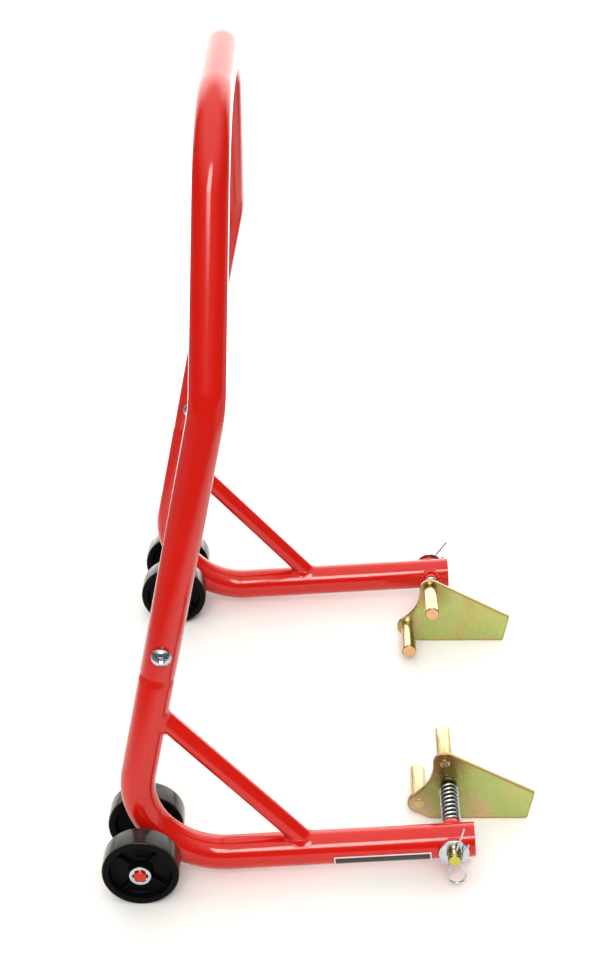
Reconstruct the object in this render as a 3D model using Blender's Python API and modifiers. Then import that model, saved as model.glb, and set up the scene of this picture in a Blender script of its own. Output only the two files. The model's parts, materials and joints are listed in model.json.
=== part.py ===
"""Rear paddock stand for a motorcycle: a bolted tube frame on four small wheels, with a cradle bracket
on each arm that swings about its pivot pin and slides out against a spring.

Metres, +Z up. +X points from the handle towards the motorcycle, and the right side is at -Y.
The origin is on the floor, under the middle of the stand's outline."""

import math

import bmesh
import bpy
import numpy as np
from mathutils import Matrix, Vector

# Fits
GAP = 0.0003  # between pieces that touch, are welded or are bolted
RUNNING = 0.0002  # radial, of a wheel on its axle and a pivot pin in its sleeve

# Tube frame
TRACK = 0.495  # between the axes of the two arms
TUBE_DIAMETER = 0.0337
TUBE_WALL = 0.002
LEG_LEAN = math.radians(11.2)  # of the lower legs, forwards from the vertical
ARM_RISE = math.radians(3.6)  # of the arms, towards their tips
ELBOW_RADIUS = 0.082
ARM_REACH = 0.3243  # level, from the axle to the arm's tip

# Handle hoop
JOINT_HEIGHT = 0.239  # where the handle's legs end, over the arms' spigots
SHOULDER_HEIGHT = 0.5135  # where the legs turn inwards
TOP_HEIGHT = 0.739  # of the crossbar's axis
TOP_SPAN = 0.255  # between the crossbar's corners before rounding
UPPER_LEAN = math.radians(1.15)  # of the upper legs, forwards
SHOULDER_RADIUS = 0.060
CROWN_RADIUS = 0.115

# Spigots and their bolts
SPIGOT_LENGTH = 0.060
SPIGOT_TAPER = 0.009
SPIGOT_FIT = 0.0004  # radial, in the handle's bore
BOLT_ABOVE_JOINT = 0.029  # along the leg
BOLT_DIAMETER = 0.010
BOLT_HEAD_DIAMETER = 0.019
BOLT_HEAD_HEIGHT = 0.0055
BOLT_TAIL = 0.002  # past its nut
DOME_SHARES = ((0.46, 1.0), (0.74, 0.82), (0.93, 0.48), (1.0, 0.18))  # of the head's radius and height
SOCKET_WIDTH = 0.0065
SOCKET_DEPTH = 0.0035
NUT_WIDTH = 0.017
NUT_HEIGHT = 0.0084

# Braces
BRACE_DIAMETER = 0.019
BRACE_WALL = 0.0015
BRACE_ON_LEG = 0.1985  # height where its axis meets the leg's
BRACE_ON_ARM = 0.1665  # level, from the axle to where its axis meets the arm's

# Wheels and axles
WHEEL_DIAMETER = 0.075
WHEEL_WIDTH = 0.024
WHEEL_OFFSET = 0.036  # from the arm's axis to the wheel's middle
TREAD_CHAMFER = 0.0012
RIM_THICKNESS = 0.0075
WEB_THICKNESS = 0.006
HUB_DIAMETER = 0.023
HUB_LENGTH = 0.0276
RIB_COUNT = 4
RIB_PHASE = math.radians(52)  # of the first rib, up from straight ahead
RIB_THICKNESS = 0.0025
RIB_INSET = 0.004  # below the rim's face
RIB_ROOT = 0.0015  # of each rib inside the hub and the rim
AXLE_DIAMETER = 0.012
AXLE_TIP = 0.0018  # past the clip's groove
GROOVE_DEPTH = 0.001
CLIP_THICKNESS = 0.001
CLIP_DIAMETER = 0.021
CLIP_TEETH = 6
CLIP_TOOTH_LENGTH = 0.002
SPACER_DIAMETER = 0.018

# Pivots
PIVOT_SETBACK = 0.0213  # from the arm's tip, along the arm
PIVOT_DIAMETER = 0.013
SLEEVE_DIAMETER = 0.020
SLEEVE_OUT = 0.0022  # past the arm's outer side
SLEEVE_IN = 0.005  # past the arm's inner side
WASHER_DIAMETER = 0.030
WASHER_THICKNESS = 0.002
PIN_TAIL = 0.0105  # of the pivot pin past its washer
PIN_CHAMFER = 0.0007

# Springs
SPRING_LENGTH = 0.0591
SPRING_DIAMETER = 0.0195
SPRING_WIRE = 0.0026
SPRING_COILS = 8  # open coils
SPRING_END_TURNS = 0.75  # closed, at each end
SPRING_END_GAP = 0.0008  # between the closed turns
POINTS_PER_COIL = 8

# Cradle brackets, as distances from the pivot, forwards and up
PLATE_THICKNESS = 0.0045
UPPER_PIN = Vector((-0.0045, 0.0309))
LOWER_PIN = Vector((-0.0295, -0.0193))
CRADLE_PIN_DIAMETER = 0.016
CRADLE_PIN_LENGTH = 0.051
RIVET_DIAMETER = 0.010
LOBE_RADIUS = 0.012  # of the plate around each cradle pin
CRADLE_RADIUS = 0.042  # of the hollow between them
FOOT_BACK = -0.0165
FOOT_FRONT = 0.0817
TAIL = Vector((0.0885, -0.0063))
CORNER_RADIUS = 0.003

# Spring clips through the pivot pins
WIRE_DIAMETER = 0.002
WIRE_STANDOFF = 0.0038  # of the wire's axis from the washer
WIRE_LEG = 0.034  # above the pivot
WIRE_LOOP_RADIUS = 0.0088
WIRE_LOOP_DROP = 0.0225
WIRE_LOOP_END = math.radians(50)  # past a half turn
WIRE_BOW_SHARES = ((1.12, -1.0), (1.08, 0.0), (0.92, 1.0), (1.25, 2.1))  # of the wire's reach from the pin
WIRE_BOW_POINTS = 3  # between two of those places
WIRE_TILT = {"right": math.radians(14), "left": math.radians(36)}

# Facets
BEND_STEP = math.radians(10)
OUTLINE_STEP = math.radians(15)
TUBE_SIDES = 16
WHEEL_SIDES = 24
ROUND_SIDES = 16
WIRE_SIDES = 6
BORE_OVERRUN = 0.01  # of each cutter past what it cuts

SIDES = {"right": -1, "left": 1}


# Sizes that follow from those above

TUBE_RADIUS = TUBE_DIAMETER / 2
WHEEL_RADIUS = WHEEL_DIAMETER / 2
PIVOT_RADIUS = PIVOT_DIAMETER / 2
LEG_ALONG = Vector((math.sin(LEG_LEAN), 0, math.cos(LEG_LEAN)))
ARM_ALONG = Vector((math.cos(ARM_RISE), 0, math.sin(ARM_RISE)))
ELBOW_HALF = LEG_ALONG.angle(ARM_ALONG) / 2
ELBOW_INWARDS = (LEG_ALONG + ARM_ALONG).normalized()

# The axle lies against the outside of the elbow, which places the leg and the arm
AXLE_TO_CORNER = TUBE_RADIUS + AXLE_DIAMETER / 2 + GAP - ELBOW_RADIUS * (1 / math.sin(ELBOW_HALF) - 1)
CORNER = Vector((0, 0, WHEEL_RADIUS)) + ELBOW_INWARDS * AXLE_TO_CORNER


def on_leg(height):
    """The leg's axis at that height, from the axle, in the arm's own plane."""
    return CORNER + LEG_ALONG * (height - CORNER.z) / LEG_ALONG.z


def on_arm(reach):
    """The arm's axis at that distance forward of the axle, in the arm's own plane."""
    return CORNER + ARM_ALONG * (reach - CORNER.x) / ARM_ALONG.x


JOINT = on_leg(JOINT_HEIGHT)
BOLT = JOINT + LEG_ALONG * BOLT_ABOVE_JOINT
TIP = on_arm(ARM_REACH)
PIVOT = TIP - ARM_ALONG * PIVOT_SETBACK

# Distances inwards from the arm's axis, negative on the arm's outer side
SLEEVE_OUTER_END = -TUBE_RADIUS - SLEEVE_OUT
SLEEVE_INNER_END = TUBE_RADIUS + SLEEVE_IN
WASHER_FACE = SLEEVE_OUTER_END - GAP
WIRE_AT = WASHER_FACE - WASHER_THICKNESS - WIRE_STANDOFF
PIN_END = WASHER_FACE - WASHER_THICKNESS - PIN_TAIL
SPRING_SEAT = SLEEVE_INNER_END + GAP
PLATE_OUTER_FACE = SPRING_SEAT + SPRING_LENGTH + GAP
PLATE_INNER_FACE = PLATE_OUTER_FACE + PLATE_THICKNESS

# Distances outwards from the arm's axis along the axle
HUB_START = WHEEL_OFFSET - HUB_LENGTH / 2
CLIP_START = WHEEL_OFFSET + HUB_LENGTH / 2 + GAP
GROOVE_END = CLIP_START + CLIP_THICKNESS + GAP
AXLE_HALF = GROOVE_END + AXLE_TIP
SPACER_START = TUBE_RADIUS + GAP


def arc(centre, radius, start, end):
    """Points on a flat arc, in steps of about OUTLINE_STEP."""
    count = max(2, math.ceil(abs(end - start) / OUTLINE_STEP))
    angles = [start + (end - start) * i / count for i in range(count + 1)]
    return [centre + Vector((math.cos(a), math.sin(a))) * radius for a in angles]


def circle(centre, radius):
    return arc(centre, radius, 0, 2 * math.pi)[:-1]


def heading(vector):
    return math.atan2(vector.y, vector.x)


def onward(start, end):
    """The end heading, counted anticlockwise from the start."""
    return start + (end - start) % (2 * math.pi)


def tangent_heading(centre, radius, point, side):
    """The direction from a circle's centre to where a line from the point touches it."""
    away = point - centre
    return heading(away) + side * math.acos(radius / away.length)


def rounded_corner(before, corner, after, radius):
    """An arc that touches both edges of a convex corner, passed anticlockwise."""
    back = (before - corner).normalized()
    ahead = (after - corner).normalized()
    half = back.angle(ahead) / 2
    centre = corner + (back + ahead).normalized() * radius / math.sin(half)
    start = heading(corner + back * radius / math.tan(half) - centre)
    return arc(centre, radius, start, start + math.pi - 2 * half)


def plate_outline():
    """The cradle plate, anticlockwise, seen with forwards to the right and the pivot at zero."""
    floor = -PIVOT.z
    foot_back = Vector((FOOT_BACK, floor))
    foot_front = Vector((FOOT_FRONT, floor))
    slope = tangent_heading(UPPER_PIN, LOBE_RADIUS, TAIL, 1)
    slope_top = UPPER_PIN + Vector((math.cos(slope), math.sin(slope))) * LOBE_RADIUS
    across = UPPER_PIN - LOWER_PIN
    outwards = Vector((-across.y, across.x)).normalized()
    reach = math.sqrt((CRADLE_RADIUS + LOBE_RADIUS) ** 2 - (across.length / 2) ** 2)
    hollow = (UPPER_PIN + LOWER_PIN) / 2 + outwards * reach
    upper_end = onward(slope, heading(hollow - UPPER_PIN))
    hollow_start = heading(UPPER_PIN - hollow)
    hollow_end = heading(LOWER_PIN - hollow)
    lobe_start = heading(hollow - LOWER_PIN)
    lobe_end = onward(lobe_start, tangent_heading(LOWER_PIN, LOBE_RADIUS, foot_back, -1))
    return [
        foot_back,
        *rounded_corner(foot_back, foot_front, TAIL, CORNER_RADIUS),
        *rounded_corner(foot_front, TAIL, slope_top, CORNER_RADIUS),
        *arc(UPPER_PIN, LOBE_RADIUS, slope, upper_end),
        *arc(hollow, CRADLE_RADIUS, hollow_start, hollow_end)[1:-1],
        *arc(LOWER_PIN, LOBE_RADIUS, lobe_start, lobe_end),
    ]


PLATE_OUTLINE = plate_outline()
FRONT_REACH = PIVOT.x + max(point.x for point in PLATE_OUTLINE)
AXLE_X = (WHEEL_RADIUS - FRONT_REACH) / 2


def at_side(place, side, inwards=0.0):
    """A point of the arm's own plane, put on that side of the stand."""
    return Vector((AXLE_X + place.x, side * (TRACK / 2 - inwards), place.z))


# Blender helpers


def clear_scene():
    for old in list(bpy.data.objects):
        bpy.data.objects.remove(old, do_unlink=True)


def new_collection(name):
    made = bpy.data.collections.new(name)
    bpy.context.scene.collection.children.link(made)
    return made


def new_material(name, colour, metallic, roughness):
    made = bpy.data.materials.new(name)
    made.use_nodes = True
    shader = made.node_tree.nodes["Principled BSDF"]
    shader.inputs["Base Color"].default_value = (*colour, 1.0)
    shader.inputs["Metallic"].default_value = metallic
    shader.inputs["Roughness"].default_value = roughness
    return made


def new_object(name, data, group):
    made = bpy.data.objects.new(name, data)
    group.objects.link(made)
    return made


def new_cutter(name, mesh):
    made = new_object(name, mesh, CUTTERS)
    made.hide_render = True
    made.display_type = "WIRE"
    return made


def paint(piece, finish):
    piece.data.materials.clear()
    piece.data.materials.append(finish)
    return piece


def smooth(mesh):
    mesh.shade_smooth()
    mesh.set_sharp_from_angle(angle=math.radians(35))
    return mesh


def baked(obj):
    """The object's evaluated shape as a welded mesh, and the object removed."""
    graph = bpy.context.evaluated_depsgraph_get()
    mesh = bpy.data.meshes.new_from_object(obj.evaluated_get(graph))
    work = bmesh.new()
    work.from_mesh(mesh)
    bmesh.ops.remove_doubles(work, verts=work.verts, dist=1e-6)
    bmesh.ops.recalc_face_normals(work, faces=work.faces)
    work.to_mesh(mesh)
    work.free()
    bpy.data.objects.remove(obj, do_unlink=True)
    return smooth(mesh)


def rod_mesh(points, radius, sides, scales=None, roll=0.0):
    """A round bar along the points, its radius scaled at each one where scales are given."""
    curve = bpy.data.curves.new("rod", "CURVE")
    curve.dimensions = "3D"
    curve.bevel_depth = radius
    curve.bevel_resolution = sides // 2 - 2
    curve.use_fill_caps = True
    spline = curve.splines.new("POLY")
    spline.points.add(len(points) - 1)
    for index, (point, place) in enumerate(zip(spline.points, points)):
        point.co = (*place, 1.0)
        point.radius = scales[index] if scales else 1.0
        point.tilt = roll
    return baked(new_object("rod", curve, CUTTERS))


def flat_mesh(outlines, thickness):
    """Flat outlines in XY, the first one solid and the others holes, made thick along Z."""
    curve = bpy.data.curves.new("flat", "CURVE")
    curve.dimensions = "2D"
    curve.fill_mode = "BOTH"
    curve.extrude = thickness / 2
    for outline in outlines:
        spline = curve.splines.new("POLY")
        spline.points.add(len(outline) - 1)
        for point, place in zip(spline.points, outline):
            point.co = (place.x, place.y, 0.0, 1.0)
        spline.use_cyclic_u = True
    return baked(new_object("flat", curve, CUTTERS))


def turned_mesh(profile, steps=ROUND_SIDES, ring=False):
    """A (radius, height) profile, run from its top down its outer side, turned about Z."""
    mesh = bpy.data.meshes.new("profile")
    edges = [(i, i + 1) for i in range(len(profile) - 1)]
    if ring:
        edges.append((len(profile) - 1, 0))
    mesh.from_pydata([(radius, 0, height) for radius, height in profile], edges, [])
    shape = new_object("turned", mesh, CUTTERS)
    screw = shape.modifiers.new("turn", "SCREW")
    screw.axis = "Z"
    screw.angle = 2 * math.pi
    screw.steps = steps
    screw.render_steps = steps
    screw.use_merge_vertices = True
    screw.merge_threshold = 1e-5
    return baked(shape)


def cylinder_mesh(radius, length, sides=ROUND_SIDES):
    """A cylinder along Z about the origin."""
    work = bmesh.new()
    bmesh.ops.create_cone(
        work, cap_ends=True, segments=sides, radius1=radius, radius2=radius, depth=length
    )
    mesh = bpy.data.meshes.new("cylinder")
    work.to_mesh(mesh)
    work.free()
    return smooth(mesh)


def combine(piece, tool, operation="DIFFERENCE"):
    boolean = piece.modifiers.new(tool.name, "BOOLEAN")
    boolean.operation = operation
    boolean.object = tool
    return piece


def rounded_path(corners, radii):
    """Points along straight runs, with an arc of its own radius at each corner between them."""
    points = [corners[0]]
    for before, corner, after, radius in zip(corners, corners[1:], corners[2:], radii):
        back = (before - corner).normalized()
        ahead = (after - corner).normalized()
        half = back.angle(ahead) / 2
        centre = corner + (back + ahead).normalized() * radius / math.sin(half)
        spoke = corner + back * radius / math.tan(half) - centre
        turn = math.pi - 2 * half
        axis = spoke.cross(-back)
        count = max(2, math.ceil(turn / BEND_STEP))
        points += [centre + Matrix.Rotation(turn * i / count, 3, axis) @ spoke for i in range(count + 1)]
    return points + [corners[-1]]


def lengthened(points, extra):
    """The same path with both ends carried on, for a bore that runs out of its tube."""
    first = points[0] + (points[0] - points[1]).normalized() * extra
    last = points[-1] + (points[-1] - points[-2]).normalized() * extra
    return [first, *points[1:-1], last]


def across_arm(side):
    """The rotation that points a piece's own +Z inwards from that arm."""
    return (side * math.pi / 2, 0, 0)


UPRIGHT = (math.pi / 2, 0, 0)  # stands a flat outline up, facing across the stand


# Frame pieces


def add_handle_hoop(bolt_holes):
    def shoulder(side):
        return at_side(on_leg(SHOULDER_HEIGHT), side)

    def top_corner(side):
        rise = TOP_HEIGHT - SHOULDER_HEIGHT
        forward = shoulder(side).x + rise * math.tan(UPPER_LEAN)
        return Vector((forward, side * TOP_SPAN / 2, TOP_HEIGHT))

    corners = [
        at_side(JOINT, -1),
        shoulder(-1),
        top_corner(-1),
        top_corner(1),
        shoulder(1),
        at_side(JOINT, 1),
    ]
    radii = (SHOULDER_RADIUS, CROWN_RADIUS, CROWN_RADIUS, SHOULDER_RADIUS)
    path = rounded_path(corners, radii)
    hoop = new_object("handle_hoop", rod_mesh(path, TUBE_RADIUS, TUBE_SIDES), PARTS)
    bore_path = lengthened(path, BORE_OVERRUN)
    bore = rod_mesh(bore_path, TUBE_RADIUS - TUBE_WALL, TUBE_SIDES)
    combine(hoop, new_cutter("hoop_bore", bore))
    for hole in bolt_holes.values():
        combine(hoop, hole)
    return paint(hoop, RED)


def add_bolt_hole(name, side):
    radius = BOLT_DIAMETER / 2 + GAP
    hole = new_cutter(f"bolt_hole_{name}", cylinder_mesh(radius, TUBE_DIAMETER + BORE_OVERRUN))
    hole.location = at_side(BOLT, side)
    hole.rotation_euler = UPRIGHT
    return hole


def add_arm_tube(name, side, bolt_hole):
    """The bent tube of one side, from its spigot in the handle's leg down to the elbow and out to its tip."""
    spigot_top = JOINT + LEG_ALONG * SPIGOT_LENGTH
    taper_end = JOINT - LEG_ALONG * SPIGOT_TAPER
    bend = [taper_end, CORNER, TIP]
    path = [at_side(p, side) for p in (spigot_top, JOINT, *rounded_path(bend, [ELBOW_RADIUS]))]
    spigot_radius = TUBE_RADIUS - TUBE_WALL - SPIGOT_FIT
    outer_scales = [spigot_radius / TUBE_RADIUS] * 2 + [1.0] * (len(path) - 2)
    tube = new_object(f"arm_tube_{name}", rod_mesh(path, TUBE_RADIUS, TUBE_SIDES, outer_scales), PARTS)
    bore_radius = TUBE_RADIUS - TUBE_WALL
    bore_scales = [(spigot_radius - TUBE_WALL) / bore_radius] * 2 + [1.0] * (len(path) - 2)
    bore = rod_mesh(lengthened(path, BORE_OVERRUN), bore_radius, TUBE_SIDES, bore_scales)
    combine(tube, new_cutter(f"arm_bore_{name}", bore))
    sleeve_hole = cylinder_mesh(SLEEVE_DIAMETER / 2 + GAP, TUBE_DIAMETER + BORE_OVERRUN)
    hole = new_cutter(f"sleeve_hole_{name}", sleeve_hole)
    hole.location = at_side(PIVOT, side)
    hole.rotation_euler = UPRIGHT
    combine(tube, hole)
    combine(tube, bolt_hole)
    return paint(tube, RED)


def add_brace(name, side):
    """A straight tube across the elbow, its ends shaped to the leg and the arm that it is welded to."""
    leg_end = at_side(on_leg(BRACE_ON_LEG), side)
    arm_end = at_side(on_arm(BRACE_ON_ARM), side)
    brace = new_object(
        f"brace_{name}", rod_mesh([leg_end, arm_end], BRACE_DIAMETER / 2, TUBE_SIDES), PARTS
    )
    bore_path = lengthened([leg_end, arm_end], BORE_OVERRUN)
    bore = rod_mesh(bore_path, BRACE_DIAMETER / 2 - BRACE_WALL, TUBE_SIDES)
    combine(brace, new_cutter(f"brace_bore_{name}", bore))
    half_facet = math.pi / ROUND_SIDES
    clear = (TUBE_RADIUS + GAP) / math.cos(half_facet)
    for part, end, along in (("leg", leg_end, LEG_ALONG), ("arm", arm_end, ARM_ALONG)):
        ends = [end - along * TUBE_DIAMETER * 2, end + along * TUBE_DIAMETER * 2]
        cope = rod_mesh(ends, clear, ROUND_SIDES, roll=half_facet)
        combine(brace, new_cutter(f"brace_{part}_cope_{name}", cope))
    return paint(brace, RED)


def add_pivot_sleeve(name, side):
    inner = PIVOT_RADIUS + RUNNING
    outer = SLEEVE_DIAMETER / 2
    profile = [
        (outer, SLEEVE_INNER_END),
        (outer, SLEEVE_OUTER_END),
        (inner, SLEEVE_OUTER_END),
        (inner, SLEEVE_INNER_END),
    ]
    sleeve = new_object(f"pivot_sleeve_{name}", turned_mesh(profile, ring=True), PARTS)
    sleeve.location = at_side(PIVOT, side)
    sleeve.rotation_euler = across_arm(side)
    return paint(sleeve, RED)


# Handle bolts


def add_joint_bolt(name, side):
    """A button-head bolt put in from the stand's right, through the handle's leg and the spigot."""
    grip = TUBE_DIAMETER + 2 * GAP + NUT_HEIGHT + BOLT_TAIL
    head = BOLT_HEAD_DIAMETER / 2
    shank = BOLT_DIAMETER / 2
    profile = [
        (0, BOLT_HEAD_HEIGHT),
        *((head * out, BOLT_HEAD_HEIGHT * rise) for out, rise in DOME_SHARES),
        (head, 0),
        (shank, 0),
        (shank, -grip + PIN_CHAMFER),
        (shank - PIN_CHAMFER, -grip),
        (0, -grip),
    ]
    bolt = new_object(f"joint_bolt_{name}", turned_mesh(profile), PARTS)
    seat = at_side(BOLT, side) - Vector((0, TUBE_RADIUS + GAP, 0))
    bolt.location = seat
    bolt.rotation_euler = UPRIGHT
    socket = new_cutter(
        f"bolt_socket_{name}", cylinder_mesh(SOCKET_WIDTH / math.sqrt(3), SOCKET_DEPTH * 2, 6)
    )
    socket.location = seat - Vector((0, BOLT_HEAD_HEIGHT, 0))
    socket.rotation_euler = UPRIGHT
    combine(bolt, socket)
    return paint(bolt, ZINC)


def add_joint_nut(name, side):
    nut = new_object(f"joint_nut_{name}", cylinder_mesh(NUT_WIDTH / math.sqrt(3), NUT_HEIGHT, 6), PARTS)
    nut.location = at_side(BOLT, side) + Vector((0, TUBE_RADIUS + GAP + NUT_HEIGHT / 2, 0))
    nut.rotation_euler = UPRIGHT
    bore = new_cutter(
        f"nut_bore_{name}", cylinder_mesh(BOLT_DIAMETER / 2 + GAP, NUT_HEIGHT + BORE_OVERRUN)
    )
    bore.location = nut.location
    bore.rotation_euler = UPRIGHT
    combine(nut, bore)
    return paint(nut, ZINC)


# Wheels and axles


def axle_place(side, outwards):
    return at_side(Vector((0, 0, WHEEL_RADIUS)), side, -outwards)


def add_axle(name, side):
    """A rod welded to the outside of the elbow, with a clip groove near each end."""
    full = AXLE_DIAMETER / 2
    half = [
        (0, AXLE_HALF),
        (full - PIN_CHAMFER, AXLE_HALF),
        (full, AXLE_HALF - PIN_CHAMFER),
        (full, GROOVE_END),
        (full - GROOVE_DEPTH, GROOVE_END),
        (full - GROOVE_DEPTH, CLIP_START - GAP),
        (full, CLIP_START - GAP),
    ]
    profile = half + [(radius, -height) for radius, height in reversed(half)]
    axle = new_object(f"axle_{name}", turned_mesh(profile), PARTS)
    axle.location = axle_place(side, 0)
    axle.rotation_euler = UPRIGHT
    return paint(axle, RED)


def wheel_mesh():
    """A moulded wheel about Z, with a recessed, ribbed web on each face."""
    bore = AXLE_DIAMETER / 2 + RUNNING
    rim = WHEEL_RADIUS - RIM_THICKNESS
    hub = HUB_DIAMETER / 2
    face = WHEEL_WIDTH / 2
    half = [
        (bore, HUB_LENGTH / 2),
        (hub, HUB_LENGTH / 2),
        (hub, WEB_THICKNESS / 2),
        (rim, WEB_THICKNESS / 2),
        (rim, face),
        (WHEEL_RADIUS - TREAD_CHAMFER, face),
        (WHEEL_RADIUS, face - TREAD_CHAMFER),
    ]
    profile = half + [(radius, -height) for radius, height in reversed(half)]
    body = new_object("wheel_body", turned_mesh(profile, WHEEL_SIDES, ring=True), CUTTERS)
    inner = hub - RIB_ROOT
    length = rim + RIB_ROOT - inner
    work = bmesh.new()
    for index in range(RIB_COUNT):
        turn = Matrix.Rotation(RIB_PHASE + 2 * math.pi * index / RIB_COUNT, 4, "Z")
        shift = Matrix.Translation((inner + length / 2, 0, 0))
        size = Matrix.Diagonal((length, RIB_THICKNESS, WHEEL_WIDTH - 2 * RIB_INSET, 1))
        bmesh.ops.create_cube(work, size=1, matrix=turn @ shift @ size)
    ribs_mesh = bpy.data.meshes.new("wheel_ribs")
    work.to_mesh(ribs_mesh)
    work.free()
    ribs = new_cutter("wheel_ribs", ribs_mesh)
    combine(body, ribs, "UNION")
    mesh = baked(body)
    bpy.data.objects.remove(ribs, do_unlink=True)
    return mesh


def add_wheel(name, side, away, mesh):
    """away is 1 for the wheel outside the arm and -1 for the one inside it."""
    wheel = new_object(f"wheel_{name}", mesh, PARTS)
    wheel.location = axle_place(side, away * WHEEL_OFFSET)
    wheel.rotation_euler = UPRIGHT
    return paint(wheel, BLACK)


def axle_clip_mesh():
    """A push-on ring whose teeth spring into the axle's groove."""
    seat = AXLE_DIAMETER / 2 - GROOVE_DEPTH + GAP
    centre = Vector((0, 0))
    pitch = 2 * math.pi / CLIP_TEETH
    hole = []
    for index in range(CLIP_TEETH):
        start = index * pitch
        hole += arc(centre, seat, start, start + pitch / 2)
        hole += arc(centre, seat + CLIP_TOOTH_LENGTH, start + pitch / 2, start + pitch)
    return flat_mesh([circle(centre, CLIP_DIAMETER / 2), hole], CLIP_THICKNESS)


def add_axle_clip(name, side, away, mesh):
    clip = new_object(f"axle_clip_{name}", mesh, PARTS)
    clip.location = axle_place(side, away * (CLIP_START + CLIP_THICKNESS / 2))
    clip.rotation_euler = UPRIGHT
    return paint(clip, ZINC)


def wheel_spacer_mesh():
    """A collar between the elbow and a wheel's hub."""
    length = HUB_START - GAP - SPACER_START
    inner = AXLE_DIAMETER / 2 + RUNNING
    outer = SPACER_DIAMETER / 2
    profile = [(outer, length / 2), (outer, -length / 2), (inner, -length / 2), (inner, length / 2)]
    return turned_mesh(profile, ring=True)


def add_wheel_spacer(name, side, away, mesh):
    spacer = new_object(f"wheel_spacer_{name}", mesh, PARTS)
    spacer.location = axle_place(side, away * (SPACER_START + HUB_START - GAP) / 2)
    spacer.rotation_euler = UPRIGHT
    return paint(spacer, ZINC)


# Sprung, swinging brackets


def add_joint_empty(name, place):
    empty = new_object(name, None, PARTS)
    empty.location = place
    return empty


def hang(piece, parent, side, inwards=0.0):
    """Parents a piece to a pivot's empty, that far inwards of it."""
    piece.parent = parent
    piece.location = (0, -side * inwards, 0)
    return piece


def add_cradle_plate(name, side, swing):
    hole = RIVET_DIAMETER / 2 + GAP
    holes = [circle(centre, hole) for centre in (UPPER_PIN, LOWER_PIN, Vector((0, 0)))]
    plate = new_object(f"cradle_plate_{name}", flat_mesh([PLATE_OUTLINE, *holes], PLATE_THICKNESS), PARTS)
    plate.rotation_euler = UPRIGHT
    hang(plate, swing, side, (PLATE_OUTER_FACE + PLATE_INNER_FACE) / 2)
    return paint(plate, PASSIVATE)


def cradle_pin_mesh():
    """A pin about Z whose shoulder seats on the plate's inner face, its riveted end through the plate."""
    full = CRADLE_PIN_DIAMETER / 2
    rivet = RIVET_DIAMETER / 2
    shoulder = PLATE_INNER_FACE + GAP
    end = PLATE_INNER_FACE + CRADLE_PIN_LENGTH
    profile = [
        (0, end),
        (full - PIN_CHAMFER, end),
        (full, end - PIN_CHAMFER),
        (full, shoulder),
        (rivet, shoulder),
        (rivet, PLATE_OUTER_FACE),
        (0, PLATE_OUTER_FACE),
    ]
    return turned_mesh(profile)


def add_cradle_pin(name, side, swing, centre, mesh):
    pin = new_object(f"cradle_pin_{name}", mesh, PARTS)
    pin.rotation_euler = across_arm(side)
    pin.parent = swing
    pin.location = (centre.x, 0, centre.y)
    return paint(pin, PASSIVATE)


def add_pivot_pin(name, side, swing):
    """The rod that the bracket turns and slides on, riveted to the plate, with a cross hole for its clip."""
    rivet = RIVET_DIAMETER / 2
    profile = [
        (0, PLATE_INNER_FACE),
        (rivet, PLATE_INNER_FACE),
        (rivet, PLATE_OUTER_FACE - GAP),
        (PIVOT_RADIUS, PLATE_OUTER_FACE - GAP),
        (PIVOT_RADIUS, PIN_END + PIN_CHAMFER),
        (PIVOT_RADIUS - PIN_CHAMFER, PIN_END),
        (0, PIN_END),
    ]
    pin = new_object(f"pivot_pin_{name}", turned_mesh(profile), PARTS)
    pin.rotation_euler = across_arm(side)
    hang(pin, swing, side)
    hole = new_cutter(
        f"clip_hole_{name}", cylinder_mesh(WIRE_DIAMETER / 2 + GAP, PIVOT_DIAMETER + BORE_OVERRUN, WIRE_SIDES)
    )
    hole.rotation_euler = (0, WIRE_TILT[name], 0)
    hang(hole, swing, side, WIRE_AT)
    combine(pin, hole)
    return paint(pin, PASSIVATE)


def add_pivot_washer(name, side, slider):
    inner = PIVOT_RADIUS + GAP
    outer = WASHER_DIAMETER / 2
    profile = [
        (outer, WASHER_FACE),
        (outer, WASHER_FACE - WASHER_THICKNESS),
        (inner, WASHER_FACE - WASHER_THICKNESS),
        (inner, WASHER_FACE),
    ]
    washer = new_object(f"pivot_washer_{name}", turned_mesh(profile, ring=True), PARTS)
    washer.rotation_euler = across_arm(side)
    hang(washer, slider, side)
    return paint(washer, ZINC)


def smooth_run(knots, count):
    """Points along a smooth curve through the knots, count of them to each stretch."""
    ends = [knots[0] * 2 - knots[1], *knots, knots[-1] * 2 - knots[-2]]
    points = []
    for a, b, c, d in zip(ends, ends[1:], ends[2:], ends[3:]):
        for i in range(count):
            t = i / count
            points.append(
                ((b * 2) + (c - a) * t + (a * 2 - b * 5 + c * 4 - d) * t**2 + (b * 3 - a - c * 3 + d) * t**3)
                / 2
            )
    return [*points, knots[-1]]


def add_spring_clip(name, side, swing):
    """A hairpin of round wire: a straight leg through the pin, a loop below, and a leg bowed round the pin."""
    bow = PIVOT_RADIUS + WIRE_DIAMETER / 2 + GAP
    loop = Vector((WIRE_LOOP_RADIUS, -WIRE_LOOP_DROP))
    straight = [Vector((0, WIRE_LEG)), Vector((0, PIVOT_RADIUS)), Vector((0, -PIVOT_RADIUS))]
    turns = arc(loop, WIRE_LOOP_RADIUS, math.pi, 2 * math.pi + WIRE_LOOP_END)
    bowed = [turns[-1], *(Vector(shares) * bow for shares in WIRE_BOW_SHARES)]
    flat_path = straight + turns[:-1] + smooth_run(bowed, WIRE_BOW_POINTS)
    tilt = Matrix.Rotation(-WIRE_TILT[name], 2)
    path = [Vector(((tilt @ point).x, 0, (tilt @ point).y)) for point in flat_path]
    clip = new_object(f"spring_clip_{name}", rod_mesh(path, WIRE_DIAMETER / 2, WIRE_SIDES), PARTS)
    hang(clip, swing, side, WIRE_AT)
    return paint(clip, ZINC)


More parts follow.
